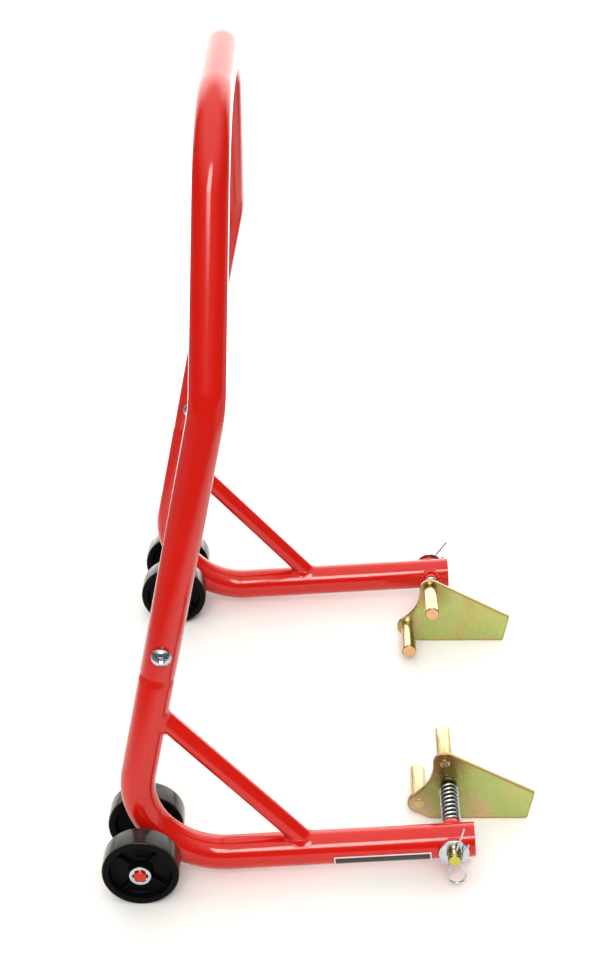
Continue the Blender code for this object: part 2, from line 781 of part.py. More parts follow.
def spring_path():
    """One helix about Z from the sleeve's end to the plate, wound close at each end."""
    radius = (SPRING_DIAMETER - SPRING_WIRE) / 2
    turns = SPRING_COILS + 2 * SPRING_END_TURNS
    closed = (SPRING_WIRE + SPRING_END_GAP) * SPRING_END_TURNS
    travel = SPRING_LENGTH - SPRING_WIRE
    count = round(turns * POINTS_PER_COIL)
    known_turns = [0, SPRING_END_TURNS, turns - SPRING_END_TURNS, turns]
    known_heights = [0, closed, travel - closed, travel]
    points = []
    for i in range(count + 1):
        turn = turns * i / count
        height = float(np.interp(turn, known_turns, known_heights))
        angle = 2 * math.pi * turn
        base = SPRING_SEAT + SPRING_WIRE / 2
        points.append(Vector((radius * math.cos(angle), radius * math.sin(angle), base + height)))
    return points


def least_self_gap(points, wire):
    """The least gap between turns of a wire, measured on its points, leaving out each point's own half turn."""
    places = np.array([tuple(p) for p in points])
    apart = np.linalg.norm(places[:, None] - places[None, :], axis=2)
    index = np.arange(len(places))
    near = np.abs(index[:, None] - index[None, :]) <= POINTS_PER_COIL // 2
    return float(np.min(np.where(near, np.inf, apart))) - wire


def add_spring(name, side):
    path = spring_path()
    gap = least_self_gap(path, SPRING_WIRE)
    print(f"pivot_spring_{name}: least gap between turns {gap * 1000:.2f} mm")
    spring = new_object(f"pivot_spring_{name}", rod_mesh(path, SPRING_WIRE / 2, WIRE_SIDES), PARTS)
    spring.location = at_side(PIVOT, side)
    spring.rotation_euler = across_arm(side)
    return paint(spring, ZINC)


# The stand


def build():
    bolt_holes = {name: add_bolt_hole(name, side) for name, side in SIDES.items()}
    add_handle_hoop(bolt_holes)
    wheel = wheel_mesh()
    clip = axle_clip_mesh()
    spacer = wheel_spacer_mesh()
    cradle_pin = cradle_pin_mesh()
    for name, side in SIDES.items():
        add_arm_tube(name, side, bolt_holes[name])
        add_brace(name, side)
        add_pivot_sleeve(name, side)
        add_joint_bolt(name, side)
        add_joint_nut(name, side)
        add_axle(name, side)
        for where, away in (("outer", 1), ("inner", -1)):
            add_wheel(f"{name}_{where}", side, away, wheel)
            add_axle_clip(f"{name}_{where}", side, away, clip)
            add_wheel_spacer(f"{name}_{where}", side, away, spacer)
        add_spring(name, side)
        pivot = at_side(PIVOT, side)
        slider = add_joint_empty(f"slider_{name}", pivot)
        add_pivot_washer(name, side, slider)
        swing = add_joint_empty(f"swing_{name}", pivot)
        add_cradle_plate(name, side, swing)
        add_cradle_pin(f"upper_{name}", side, swing, UPPER_PIN, cradle_pin)
        add_cradle_pin(f"lower_{name}", side, swing, LOWER_PIN, cradle_pin)
        add_pivot_pin(name, side, swing)
        add_spring_clip(name, side, swing)
    bpy.context.view_layer.update()


clear_scene()
PARTS = new_collection("paddock_stand")
CUTTERS = new_collection("cutters")
RED = new_material("red_powder_coat", (0.62, 0.035, 0.025), 0.0, 0.25)
PASSIVATE = new_material("yellow_passivated_steel", (0.62, 0.58, 0.22), 0.9, 0.38)
ZINC = new_material("bright_zinc", (0.72, 0.74, 0.75), 1.0, 0.28)
BLACK = new_material("black_plastic", (0.012, 0.012, 0.013), 0.0, 0.42)
build()
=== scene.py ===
# %% [markdown]
# # A rear paddock stand
# A paddock stand lifts the back of a motorcycle by its swingarm. Ours is a red tube frame on four small
# wheels, with a yellow steel cradle on each arm. The imported CAD model already gives every piece its place
# and its joints, so this lesson only gives the pieces their finished surfaces, their finishes and a
# studio. We load the model first, and read its parts' sizes from their boxes. The finished stand has to
# stay inside it.

# %% Load the frame
import json
import math

import bmesh
import bpy
import numpy as np
from mathutils import Matrix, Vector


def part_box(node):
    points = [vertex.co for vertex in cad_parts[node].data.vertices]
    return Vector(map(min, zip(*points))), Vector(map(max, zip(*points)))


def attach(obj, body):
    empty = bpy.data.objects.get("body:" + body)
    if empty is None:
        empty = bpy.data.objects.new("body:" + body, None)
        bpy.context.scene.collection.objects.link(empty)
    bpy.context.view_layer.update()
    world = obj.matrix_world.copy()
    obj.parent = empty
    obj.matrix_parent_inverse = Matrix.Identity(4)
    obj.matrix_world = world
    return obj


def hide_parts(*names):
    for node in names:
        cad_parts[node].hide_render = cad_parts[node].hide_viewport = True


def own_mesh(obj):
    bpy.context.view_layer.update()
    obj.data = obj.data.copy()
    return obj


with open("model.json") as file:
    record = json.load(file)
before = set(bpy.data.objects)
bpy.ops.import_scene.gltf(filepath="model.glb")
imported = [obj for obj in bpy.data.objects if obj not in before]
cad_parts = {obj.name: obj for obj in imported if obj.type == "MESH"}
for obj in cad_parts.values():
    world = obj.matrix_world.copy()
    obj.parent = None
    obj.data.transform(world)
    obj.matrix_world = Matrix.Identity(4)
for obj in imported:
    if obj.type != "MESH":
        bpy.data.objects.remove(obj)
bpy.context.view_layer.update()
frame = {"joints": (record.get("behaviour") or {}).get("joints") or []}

# %% [markdown]
# ## Sizes from the frame
# A designer reads a drawing before cutting metal. Our drawing is the frame itself: boxes of its nodes
# give the tube's radius and the track, and its joints give the axle and the pivots. Only what no box can
# tell, such as an angle or a bend radius, is written here as a value of its own.

# %% Read the frame's sizes
MM = 0.001
SIDES = {"right": -1, "left": 1}
joints = {joint["name"]: joint for joint in frame["joints"]}


def low_high(node):
    """The lowest and highest corner of a CAD node's box, as arrays."""
    low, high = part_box(node)
    return np.array(low), np.array(high)


def half_size(node, axis):
    """Half of a CAD node's size along an axis, which is a round piece's radius."""
    low, high = low_high(node)
    return (high[axis] - low[axis]) / 2


def unit(vectors):
    """Vectors divided by their own lengths, along the last axis."""
    return vectors / np.linalg.norm(vectors, axis=-1, keepdims=True)


X_AXIS, Y_AXIS, Z_AXIS = np.eye(3)
arm_low, arm_high = low_high("arm_tube_right")
hoop_low, hoop_high = low_high("handle_hoop")
TUBE = half_size("arm_tube_right", 1)
TUBE_WALL = 2 * MM
HALF_TRACK = -(arm_high[1] + arm_low[1]) / 2
AXLE = np.array(joints["wheel_right_outer_spin"]["pos_m"]) * (1, 0, 1)
PIVOT = np.array(joints["bracket_right_swing"]["pos_m"]) * (1, 0, 1)

LEG_LEAN = math.radians(11.2)
ARM_RISE = math.radians(3.6)
ELBOW_BEND = 82 * MM
SEAT_GAP = 0.3 * MM
leg_along = np.array([math.sin(LEG_LEAN), 0, math.cos(LEG_LEAN)])
arm_along = np.array([math.cos(ARM_RISE), 0, math.sin(ARM_RISE)])

AXLE_RADIUS = half_size("axle_right", 0)
elbow_half = math.acos(leg_along @ arm_along) / 2
elbow_inwards = unit(leg_along + arm_along)
axle_to_corner = TUBE + AXLE_RADIUS + SEAT_GAP - ELBOW_BEND * (1 / math.sin(elbow_half) - 1)
corner = AXLE + elbow_inwards * axle_to_corner


def on_leg(height):
    """The leg's axis at a height: from the elbow's corner, along the leg."""
    return corner + leg_along * (height - corner[2]) / leg_along[2]


def on_arm(forward):
    """The arm's axis at a distance along X: from the elbow's corner, along the arm."""
    return corner + arm_along * (forward - corner[0]) / arm_along[0]


def placed(forward, upward, side, inwards=0.0):
    """Points that far along X and Z, and that far inwards of one side's arm."""
    return np.stack(np.broadcast_arrays(forward, side * (HALF_TRACK - inwards), upward), axis=-1)


def at_side(place, side, inwards=0.0):
    """A point of an arm's own plane, put on that side of the stand."""
    return placed(place[0], place[2], side, inwards)


def ends_inwards(node):
    """How far inwards of the right arm's plane a node's outer and inner ends lie."""
    low, high = low_high(node)
    return low[1] + HALF_TRACK, high[1] + HALF_TRACK


JOINT = on_leg(hoop_low[2] + TUBE * math.sin(LEG_LEAN))
TIP = on_arm(arm_high[0] - TUBE * math.sin(ARM_RISE))
print("tube", TUBE, "half track", HALF_TRACK, "joint", JOINT.round(4), "tip", TIP.round(4))

# %% [markdown]
# ## The camera
# The photograph looks along the stand's width, about 29 degrees down, with a long lens. Straight edges of
# the frame gave the camera's place, so the render lines up with the photograph. The picture is 600 by 962
# pixels, and the optical axis isn't quite at its middle: a small lens shift takes that up.

# %% Place the camera
PICTURE = np.array([600, 962])
FOCAL_PIXELS = 2035.8
OPTICAL_CENTRE = np.array([341.4, 466.9])
CAMERA_PITCH = math.radians(28.89)
CAMERA_YAW = math.radians(0.47)
CAMERA_ROLL = math.radians(0.10)
CAMERA_PLACE = np.array([AXLE[0] + 0.1799, -1.8200, 1.3251])

ahead = np.array(
    [
        math.sin(CAMERA_YAW) * math.cos(CAMERA_PITCH),
        math.cos(CAMERA_YAW) * math.cos(CAMERA_PITCH),
        -math.sin(CAMERA_PITCH),
    ]
)
level = np.array([math.cos(CAMERA_YAW), -math.sin(CAMERA_YAW), 0])
upright = np.cross(level, ahead)
right = level * math.cos(CAMERA_ROLL) + upright * math.sin(CAMERA_ROLL)
above = upright * math.cos(CAMERA_ROLL) - level * math.sin(CAMERA_ROLL)

lens = bpy.data.cameras.new("studio_camera")
lens.sensor_width = 36
lens.lens = FOCAL_PIXELS * lens.sensor_width / PICTURE.max()
lens.shift_x, lens.shift_y = (PICTURE / 2 - OPTICAL_CENTRE) / PICTURE.max() * (1, -1)
camera = bpy.data.objects.new("studio_camera", lens)
bpy.context.scene.collection.objects.link(camera)
camera.matrix_world = Matrix(np.column_stack([right, above, -ahead, CAMERA_PLACE]).tolist() + [[0, 0, 0, 1]])
bpy.context.scene.camera = camera
print("lens", round(lens.lens, 2), "mm, shift", round(lens.shift_x, 4), round(lens.shift_y, 4))

# %% [markdown]
# ## Surfaces from grids
# Every new piece here is a sheet of points: rows along it and columns round it. The points come from a
# formula, worked out for the whole sheet at once, and the faces are the quads between neighbours. Each
# row closes on itself, the last row can join the first, and a row that shrinks to a point closes a cap.
# This one idea makes tubes, turned parts, plates and wire, so a single helper can build them all.

# %% Grid helpers
SEAM, SLIVER = 2e-6, 1e-7
WELD_SHARP, NUT_SHARP, LABEL_SHARP = 80, 25, 60
FINE_SIDES, PIN_SIDES = 96, 48


def grid_faces(rows, columns, wrap_rows):
    """Quads between neighbouring points of a grid, numbered row by row. Every row closes on itself."""
    row = np.arange(rows if wrap_rows else rows - 1)[:, None]
    column = np.arange(columns)[None, :]
    here, below = row * columns, (row + 1) % rows * columns
    beside = (column + 1) % columns
    corners = (here + column, here + beside, below + beside, below + column)
    return np.stack(np.broadcast_arrays(*corners), axis=-1).reshape(-1, 4)


def sheet(points, wrap_rows=False, **marks):
    """A grid of points, whether its rows close up, and any marks: a number at each point for a finish."""
    return {"points": np.asarray(points), "wrap_rows": wrap_rows, "marks": marks}


def make_piece(name, sheets, finish, body, nodes=(), sharp=40):
    """Joins sheets into one mesh, closes its seams and poles, and rides it on a body for its CAD nodes."""
    points, faces, marks, count = [], [], {}, 0
    mark_names = sorted({mark for part in sheets for mark in part["marks"]})
    for part in sheets:
        rows, columns = part["points"].shape[:2]
        points.append(part["points"].reshape(-1, 3))
        faces.append(grid_faces(rows, columns, part["wrap_rows"]) + count)
        for mark in mark_names:
            value = np.broadcast_to(part["marks"].get(mark, 0.0), (rows, columns))
            marks.setdefault(mark, []).append(value.reshape(-1))
        count += rows * columns
    mesh = bpy.data.meshes.new(name)
    mesh.from_pydata(np.concatenate(points).tolist(), [], np.concatenate(faces).tolist())
    for mark, values in marks.items():
        layer = mesh.attributes.new(mark, "FLOAT", "POINT")
        layer.data.foreach_set("value", np.concatenate(values).astype(np.float32))
    work = bmesh.new()
    work.from_mesh(mesh)
    bmesh.ops.remove_doubles(work, verts=work.verts, dist=SEAM)
    bmesh.ops.dissolve_degenerate(work, edges=work.edges, dist=SLIVER)
    bmesh.ops.recalc_face_normals(work, faces=work.faces)
    work.to_mesh(mesh)
    work.free()
    mesh.shade_smooth()
    mesh.set_sharp_from_angle(angle=math.radians(sharp))
    mesh.materials.append(finish)
    piece = bpy.data.objects.new(name, mesh)
    bpy.context.scene.collection.objects.link(piece)
    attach(piece, body)
    if nodes:
        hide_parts(*nodes)
    return piece


# %% [markdown]
# Metal parts rarely have knife edges. `rounded` takes the corners of a path or of a profile and swaps
# each one for an arc that touches both sides, in two dimensions or three. `turned` spins a profile like a
# lathe, and `swept` carries a circle along a path, like a pipe bender.

# %% Rounding, turning and sweeping


def rounded(corners, radius, steps=6, closed=False):
    """A path whose corners are arcs. An arc's centre lies on the corner's bisector, radius / sin(half the
    corner) away, and its points blend two spokes by sin((1 - t) turn) and sin(t turn), over sin(turn)."""
    corners = np.asarray(corners, float)
    back = unit(np.roll(corners, 1, axis=0) - corners)
    forth = unit(np.roll(corners, -1, axis=0) - corners)
    half = np.arccos(np.clip((back * forth).sum(axis=1), -1, 1))[:, None] / 2
    radius = np.broadcast_to(radius, len(corners))[:, None]
    centre = corners + unit(back + forth) * radius / np.sin(half)
    first = corners + back * radius / np.tan(half) - centre
    last = corners + forth * radius / np.tan(half) - centre
    turn = (math.pi - 2 * half)[:, :, None]
    t = np.linspace(0, 1, steps + 1)[None, :, None]
    swing = first[:, None] * np.sin((1 - t) * turn) + last[:, None] * np.sin(t * turn)
    arcs = centre[:, None] + swing / np.sin(turn)
    if closed:
        return arcs.reshape(-1, corners.shape[1])
    inner = arcs[1:-1].reshape(-1, corners.shape[1])
    return np.concatenate([corners[:1], inner, corners[-1:]])


def ring_angles(count):
    """Angles evenly round a full turn."""
    return np.linspace(0, 2 * math.pi, count, endpoint=False)


def spokes(axis, sides):
    """Directions evenly round an axis and square to it: cos a u + sin a v."""
    axis = unit(np.asarray(axis, float))
    first = unit(np.cross(axis, X_AXIS if abs(axis[0]) < 0.9 else Z_AXIS))
    angle = ring_angles(sides)[:, None]
    return np.cos(angle) * first + np.sin(angle) * np.cross(axis, first)


def turned(profile, centre, axis, sides=64, wrap_rows=False, **marks):
    """A profile of radius and distance, turned about an axis: centre + distance axis + radius spoke."""
    profile = np.asarray(profile)[:, :, None, None]
    points = centre + profile[:, 1] * np.asarray(axis) + profile[:, 0] * spokes(axis, sides)
    return sheet(points, wrap_rows, **marks)


def frames_along(path, hint, closed=False):
    """The tangent at each point of a path, and two directions across it: the hint less its part along the
    tangent, and the cross product of the two."""
    if closed:
        tangent = unit(np.roll(path, -1, axis=0) - np.roll(path, 1, axis=0))
    else:
        tangent = unit(np.gradient(path, axis=0))
    first = unit(hint - (tangent * hint).sum(axis=1, keepdims=True) * tangent)
    return tangent, first, np.cross(tangent, first)


def rings(places, radius, first, second, sides, wrap_rows):
    """A circle at each place, spanned by two directions there: place + radius (cos a u + sin a v)."""
    angle = ring_angles(sides)[None, :, None]
    spoke = np.cos(angle) * first[:, None] + np.sin(angle) * second[:, None]
    return sheet(places[:, None] + radius[:, None, None] * spoke, wrap_rows)


def swept(path, radius, hint, sides=16, closed=False):
    """A circle carried along a path, with open ends closed by a dome."""
    path = np.asarray(path, float)
    tangent, first, second = frames_along(path, hint, closed)
    radius = np.broadcast_to(radius, len(path))
    if not closed:
        rise = np.sin(np.linspace(0, math.pi / 2, 5))[1:]
        shrink = np.sqrt(1 - rise**2)
        start = path[0] - tangent[0] * radius[0] * rise[::-1, None]
        end = path[-1] + tangent[-1] * radius[-1] * rise[:, None]
        path = np.concatenate([start, path, end])
        radius = np.concatenate([radius[0] * shrink[::-1], radius, radius[-1] * shrink])
        domes = ((len(rise), len(rise)), (0, 0))
        first, second = (np.pad(across, domes, mode="edge") for across in (first, second))
    return rings(path, radius, first, second, sides, closed)


def tube_shell(path, outer, wall, lip, hint, sides=56):
    """A pipe with a bore: the outer skin along the path, a rounded lip, the bore back, and the other lip."""
    path = np.asarray(path, float)
    tangent, first, second = frames_along(path, hint)
    outer = np.broadcast_to(outer, len(path))
    bore = outer - wall
    pulled = path.copy()
    pulled[0] += tangent[0] * lip
    pulled[-1] -= tangent[-1] * lip
    a = np.linspace(0, math.pi / 2, 5)

    def edge(end, way):
        """The lip at one end, from the outer skin over to the bore."""
        out = way * lip * np.concatenate([np.sin(a), np.cos(a)]) - way * lip
        radius = np.concatenate([outer[end] - lip + lip * np.cos(a), bore[end] + lip - lip * np.sin(a)])
        return path[end] + tangent[end] * out[:, None], radius

    far_place, far_radius = edge(-1, 1)
    near_place, near_radius = edge(0, -1)
    place = np.concatenate([pulled, far_place, pulled[::-1], near_place[::-1]])
    radius = np.concatenate([outer, far_radius, bore[::-1], near_radius[::-1]])
    there = np.arange(len(path))
    lips = np.full(len(far_place), there[-1]), np.full(len(near_place), 0)
    rows = np.concatenate([there, lips[0], there[::-1], lips[1]])
    return rings(place, radius, first[rows], second[rows], sides, wrap_rows=True)


# %% [markdown]
# ## Finishes
# Each finish is a small node network on one Principled shader. Noise on the piece's own coordinates gives
# colour drift, uneven gloss and the fine relief that a real surface has. A number that is the same all
# over goes straight onto the shader's socket.

# %% Node helpers


def add_node(tree, kind, inputs=None, **settings):
    """A node with its settings, and its inputs set to numbers or joined to other nodes' sockets."""
    node = tree.nodes.new(kind)
    for key, value in settings.items():
        setattr(node, key, value)
    for key, value in (inputs or {}).items():
        if isinstance(value, bpy.types.NodeSocket):
            tree.links.new(value, node.inputs[key])
        else:
            node.inputs[key].default_value = value
    return node


def new_finish(name, metallic, ior=1.5):
    """A material: one Principled shader, and its own Object coordinates."""
    finish = bpy.data.materials.new(name)
    finish.use_nodes = True
    shader = finish.node_tree.nodes["Principled BSDF"]
    shader.inputs["Metallic"].default_value = metallic
    shader.inputs["IOR"].default_value = ior
    coordinates = finish.node_tree.nodes.new("ShaderNodeTexCoord").outputs["Object"]
    return finish, finish.node_tree, shader, coordinates


def noise(tree, coordinates, scale, detail=2.0, distortion=0.0):
    """Noise between 0 and 1, that many cycles to the metre."""
    inputs = {"Vector": coordinates, "Scale": scale, "Detail": detail, "Distortion": distortion}
    return add_node(tree, "ShaderNodeTexNoise", inputs).outputs["Fac"]


def spread(tree, value, low, high, source_low=0.3, source_high=0.7):
    """A number stretched from one range onto another."""
    inputs = {"Value": value, "From Min": source_low, "From Max": source_high, "To Min": low, "To Max": high}
    return add_node(tree, "ShaderNodeMapRange", inputs).outputs["Result"]


def blend_colour(tree, share, first, second):
    """Two colours mixed by a share, from 0 for the first to 1 for the second."""
    mix = add_node(tree, "ShaderNodeMix", data_type="RGBA", inputs={"Factor": share})
    for socket, colour in (("A", first), ("B", second)):
        target = next(s for s in mix.inputs if s.name == socket and s.type == "RGBA")
        if isinstance(colour, bpy.types.NodeSocket):
            tree.links.new(colour, target)
        else:
            target.default_value = (*colour, 1.0)
    return next(s for s in mix.outputs if s.type == "RGBA")


def ramp(tree, value, stops):
    """A colour for each value, from (place, colour) stops."""
    node = add_node(tree, "ShaderNodeValToRGB", {"Fac": value})
    elements = node.color_ramp.elements
    while len(elements) < len(stops):
        elements.new(0.5)
    for element, (place, colour) in zip(elements, stops):
        element.position = place
        element.color = (*colour, 1.0)
    return node.outputs["Color"]


def mark(tree, name):
    """The number that a sheet keeps at each point under that name."""
    return add_node(tree, "ShaderNodeAttribute", attribute_name=name).outputs["Fac"]


def dress(tree, shader, place, colour, gloss, grain=None, grain_place=None):
    """Joins a colour to a shader, with uneven gloss and perhaps a fine relief. The gloss is a noise's scale
    and detail, then its two roughnesses. The grain is a scale and detail, then a strength and a depth."""
    scale, detail, smooth, rough = gloss
    uneven = spread(tree, noise(tree, place, scale, detail), smooth, rough)
    tree.links.new(colour, shader.inputs["Base Color"])
    tree.links.new(uneven, shader.inputs["Roughness"])
    if grain:
        scale, detail, strength, depth = grain
        height = noise(tree, grain_place or place, scale, detail)
        bump = add_node(tree, "ShaderNodeBump", {"Height": height, "Strength": strength, "Distance": depth})
        tree.links.new(bump.outputs["Normal"], shader.inputs["Normal"])


# %% [markdown]
# The frame has a glossy red powder coat. Powder melts into a thick, slightly rippled skin, which is
# called orange peel, and its colour drifts a little where the coat is thicker. The ripple has to stay
# very low: at a tube's edge we look along the surface, and there even a small slope throws a reflection
# far away.

# %% Red powder coat
RED_DEEP = (0.545, 0.0062, 0.0025)
RED_BRIGHT = (0.610, 0.0088, 0.0030)
RED_DRIFT = (14, 3)
RED_GLOSS, RED_PEEL = (60, 3, 0.09, 0.13), (420, 1, 0.10, 0.05 * MM)
powder_coat, tree, shader, place = new_finish("red_powder_coat", metallic=0.0)
red = blend_colour(tree, noise(tree, place, *RED_DRIFT), RED_DEEP, RED_BRIGHT)
dress(tree, shader, place, red, RED_GLOSS, RED_PEEL)

# %% [markdown]
# The cradles are steel with a yellow zinc passivate. Its film is thinner than a wavelength of light, so
# its colour wanders from straw to green and rose, in soft patches as large as a thumb. A ramp over slow,
# bent noise gives those patches. The plate's sheared edges keep more of the film, so they look tan: the
# plate marks its own edge, and the finish reads that mark. Round the upper pin a reddish brown is painted
# in: a painted reflection of the red arm, with painted shade.

# %% Yellow passivate
PASSIVATE_STOPS = [
    (0.30, (0.48, 0.42, 0.14)),
    (0.42, (0.50, 0.49, 0.17)),
    (0.52, (0.42, 0.51, 0.17)),
    (0.62, (0.53, 0.47, 0.21)),
    (0.72, (0.58, 0.42, 0.24)),
]
PATCH_DRIFT = (15, 2, 0.6)
EDGE_TAN = (0.40, 0.27, 0.12)
EDGE_SHARE = 0.85
PLATE_GLOSS, PLATE_GRAIN = (90, 4, 0.22, 0.34), (700, 2, 0.06, 0.1 * MM)
# Painted reflection of the red arm, with painted shade: a reddish brown, strongest at the upper pin.
PAINTED_REFLECTION_BROWN = (0.29, 0.13, 0.04)
PAINTED_REFLECTION_SHARE = 0.8
PAINTED_REFLECTION_NEAR, PAINTED_REFLECTION_FAR = 5 * MM, 32 * MM
painted_reflection_centre = np.mean(low_high("cradle_pin_upper_right"), axis=0) * (1, 0, 1)

plate_passivate, tree, shader, place = new_finish("yellow_passivate_plate", metallic=1.0)
patches = ramp(tree, noise(tree, place, *PATCH_DRIFT), PASSIVATE_STOPS)
in_plane = add_node(tree, "ShaderNodeVectorMath", {0: place, 1: (1, 0, 1)}, operation="MULTIPLY")
from_pin = {0: in_plane.outputs["Vector"], 1: tuple(painted_reflection_centre)}
off = add_node(tree, "ShaderNodeVectorMath", from_pin, operation="DISTANCE").outputs["Value"]
# Painted reflection and shade: the brown fades out between the near and far distance from the upper pin.
painted_reflection = spread(tree, off, PAINTED_REFLECTION_SHARE, 0.0, PAINTED_REFLECTION_NEAR, PAINTED_REFLECTION_FAR)
patches = blend_colour(tree, painted_reflection, patches, PAINTED_REFLECTION_BROWN)
edge_share = spread(tree, mark(tree, "edge"), 0, EDGE_SHARE, 0.0, 1.0)
film = blend_colour(tree, edge_share, patches, EDGE_TAN)
dress(tree, shader, place, film, PLATE_GLOSS, PLATE_GRAIN)

# %% [markdown]
# The pins have the same film over turned bar, which is smoother and paler, like champagne. The cradle
# pins' sawn ends took the film thickly and look like copper, the pivot pins' ends look like lime, and the
# chamfer round an end is painted darker, as painted shade. The pivot pin is painted dark olive as painted
# shade: fully inside the spring, and half as much through the sleeve and outside the arm. The pins mark
# all of these places, as the plates mark their edges.

# %% Pin passivate
PIN_PALE = (0.67, 0.59, 0.38)
PIN_GOLD = (0.60, 0.49, 0.19)
PIN_DRIFT = (45, 3)
PIN_GLOSS, PIN_GRAIN = (300, 3, 0.16, 0.30), (90, 2, 0.12, 0.05 * MM)
TURNING_STRETCH = (0.2, 30.0, 0.2)
# The mark that darkens the pivot pin is painted shade, and the chamfer's dark mark is painted shade too.
PIN_MARKS = {
    "grease": (0.050, 0.042, 0.016),
    "copper": (0.72, 0.42, 0.22),
    "lime": (0.56, 0.54, 0.10),
    "dull": (0.17, 0.14, 0.045),
}
pin_passivate, tree, shader, place = new_finish("yellow_passivate_pin", metallic=1.0)
gilding = spread(tree, noise(tree, place, *PIN_DRIFT), 0, 1)
pin_colour = blend_colour(tree, gilding, PIN_PALE, PIN_GOLD)
for mark_name, mark_colour in PIN_MARKS.items():
    pin_colour = blend_colour(tree, mark(tree, mark_name), pin_colour, mark_colour)
turned_place = {"Vector": place, "Scale": TURNING_STRETCH}
turning = add_node(tree, "ShaderNodeMapping", turned_place).outputs["Vector"]
dress(tree, shader, place, pin_colour, PIN_GLOSS, PIN_GRAIN, turning)

# %% [markdown]
# Bolts, washers, springs and clips are bright zinc. It is a cold, slightly blue metal, with a fine
# frosting that breaks its reflections up. The wheels are moulded black plastic: nearly black all through,
# dull on the flat faces, and polished where they roll. The grey on the tread is partly dust and partly a
# painted sheen.

# %% Bright zinc and black plastic
ZINC_COLD = (0.46, 0.54, 0.64)
ZINC_WARM = (0.64, 0.665, 0.68)
ZINC_FROST = (160, 4)
ZINC_GLOSS, ZINC_GRAIN = (420, 3, 0.16, 0.30), (1500, 1, 0.05, 0.05 * MM)
bright_zinc, tree, shader, place = new_finish("bright_zinc", metallic=1.0)
frost = spread(tree, noise(tree, place, *ZINC_FROST), 0, 1)
dress(tree, shader, place, blend_colour(tree, frost, ZINC_COLD, ZINC_WARM), ZINC_GLOSS, ZINC_GRAIN)

BLACK = (0.0030, 0.0030, 0.0032)
# Grey on the tread: partly real dust, partly a painted sheen where the tread catches the light.
DUST_AND_SHEEN = (0.16, 0.16, 0.157)
DUST_AND_SHEEN_SHARE, DUST_AND_SHEEN_SCUFFS = 0.22, (120, 5)
PLASTIC_GLOSS, PLASTIC_GRAIN = (140, 4, 0.28, 0.42), (1100, 2, 0.08, 0.1 * MM)
TREAD_STRETCH = (0.35, 3.0, 0.35)
TREAD_ROUGHNESS, TREAD_IOR = 0.16, 1.3
black_plastic, tree, shader, place = new_finish("black_plastic", metallic=0.0, ior=1.15)
rolled_place = {"Vector": place, "Scale": TREAD_STRETCH}
rolled = add_node(tree, "ShaderNodeMapping", rolled_place).outputs["Vector"]
# The tread's grey mixes dust with a painted sheen, in scuffs along the roll.
dust_and_sheen_inputs = {0: mark(tree, "tread"), 1: spread(tree, noise(tree, rolled, *DUST_AND_SHEEN_SCUFFS), 0.0, DUST_AND_SHEEN_SHARE)}
dust_and_sheen = add_node(tree, "ShaderNodeMath", dust_and_sheen_inputs, operation="MULTIPLY").outputs["Value"]
dress(tree, shader, place, blend_colour(tree, dust_and_sheen, BLACK, DUST_AND_SHEEN), PLASTIC_GLOSS, PLASTIC_GRAIN)
tree.links.new(mark(tree, "tread"), shader.inputs["Coat Weight"])
shader.inputs["Coat Roughness"].default_value = TREAD_ROUGHNESS
shader.inputs["Coat IOR"].default_value = TREAD_IOR

# %% [markdown]
# ## The handle hoop
# The handle is one tube, bent four times: at each shoulder, where the legs turn inwards, and at each
# corner of the crossbar. We write the six corners of its centre line, round the inner four, and send a
# pipe along it. Its lower ends are open, because the arm tubes' spigots plug into them.

# %% Handle hoop
SHOULDER_HEIGHT = 513.5 * MM
TOP_SPAN = 255 * MM
UPPER_LEAN = math.radians(1.15)
SHOULDER_BEND, CROWN_BEND = 60 * MM, 115 * MM
LIP = 0.5 * MM
TOP_HEIGHT = hoop_high[2] - TUBE


def hoop_half(side):
    """One leg's corners: its lower end, its shoulder and its end of the crossbar."""
    shoulder = at_side(on_leg(SHOULDER_HEIGHT), side)
    forward = shoulder[0] + (TOP_HEIGHT - SHOULDER_HEIGHT) * math.tan(UPPER_LEAN)
    return [at_side(JOINT, side), shoulder, np.array([forward, side * TOP_SPAN / 2, TOP_HEIGHT])]


hoop_bends = [0, SHOULDER_BEND, CROWN_BEND, CROWN_BEND, SHOULDER_BEND, 0]
hoop_path = rounded(hoop_half(-1) + hoop_half(1)[::-1], hoop_bends, steps=32)
hoop_sheet = tube_shell(hoop_path, TUBE, TUBE_WALL, LIP, X_AXIS)
make_piece("hoop_tube", [hoop_sheet], powder_coat, "frame", ["handle_hoop"])
print("hoop path:", len(hoop_path), "points")

# %% [markdown]
# ## The arm tubes
# Each arm tube starts with a spigot, swaged thinner so that it slips into the handle's leg. A small step
# at the joint and a short cone below it bring it back to full size, then it runs down to the elbow and
# out along the floor. The radius is a function of the distance along the tube, eased so that it shades
# like pressed steel.

# %% Arm tubes
SPIGOT_LENGTH = 60 * MM
SPIGOT_CONE = 9 * MM
SPIGOT_FIT = 0.4 * MM
SPIGOT_STEP = 1.1 * MM


def ease(t):
    """A smooth step from 0 to 1: t squared times (3 - 2t)."""
    t = np.clip(t, 0, 1)
    return t * t * (3 - 2 * t)


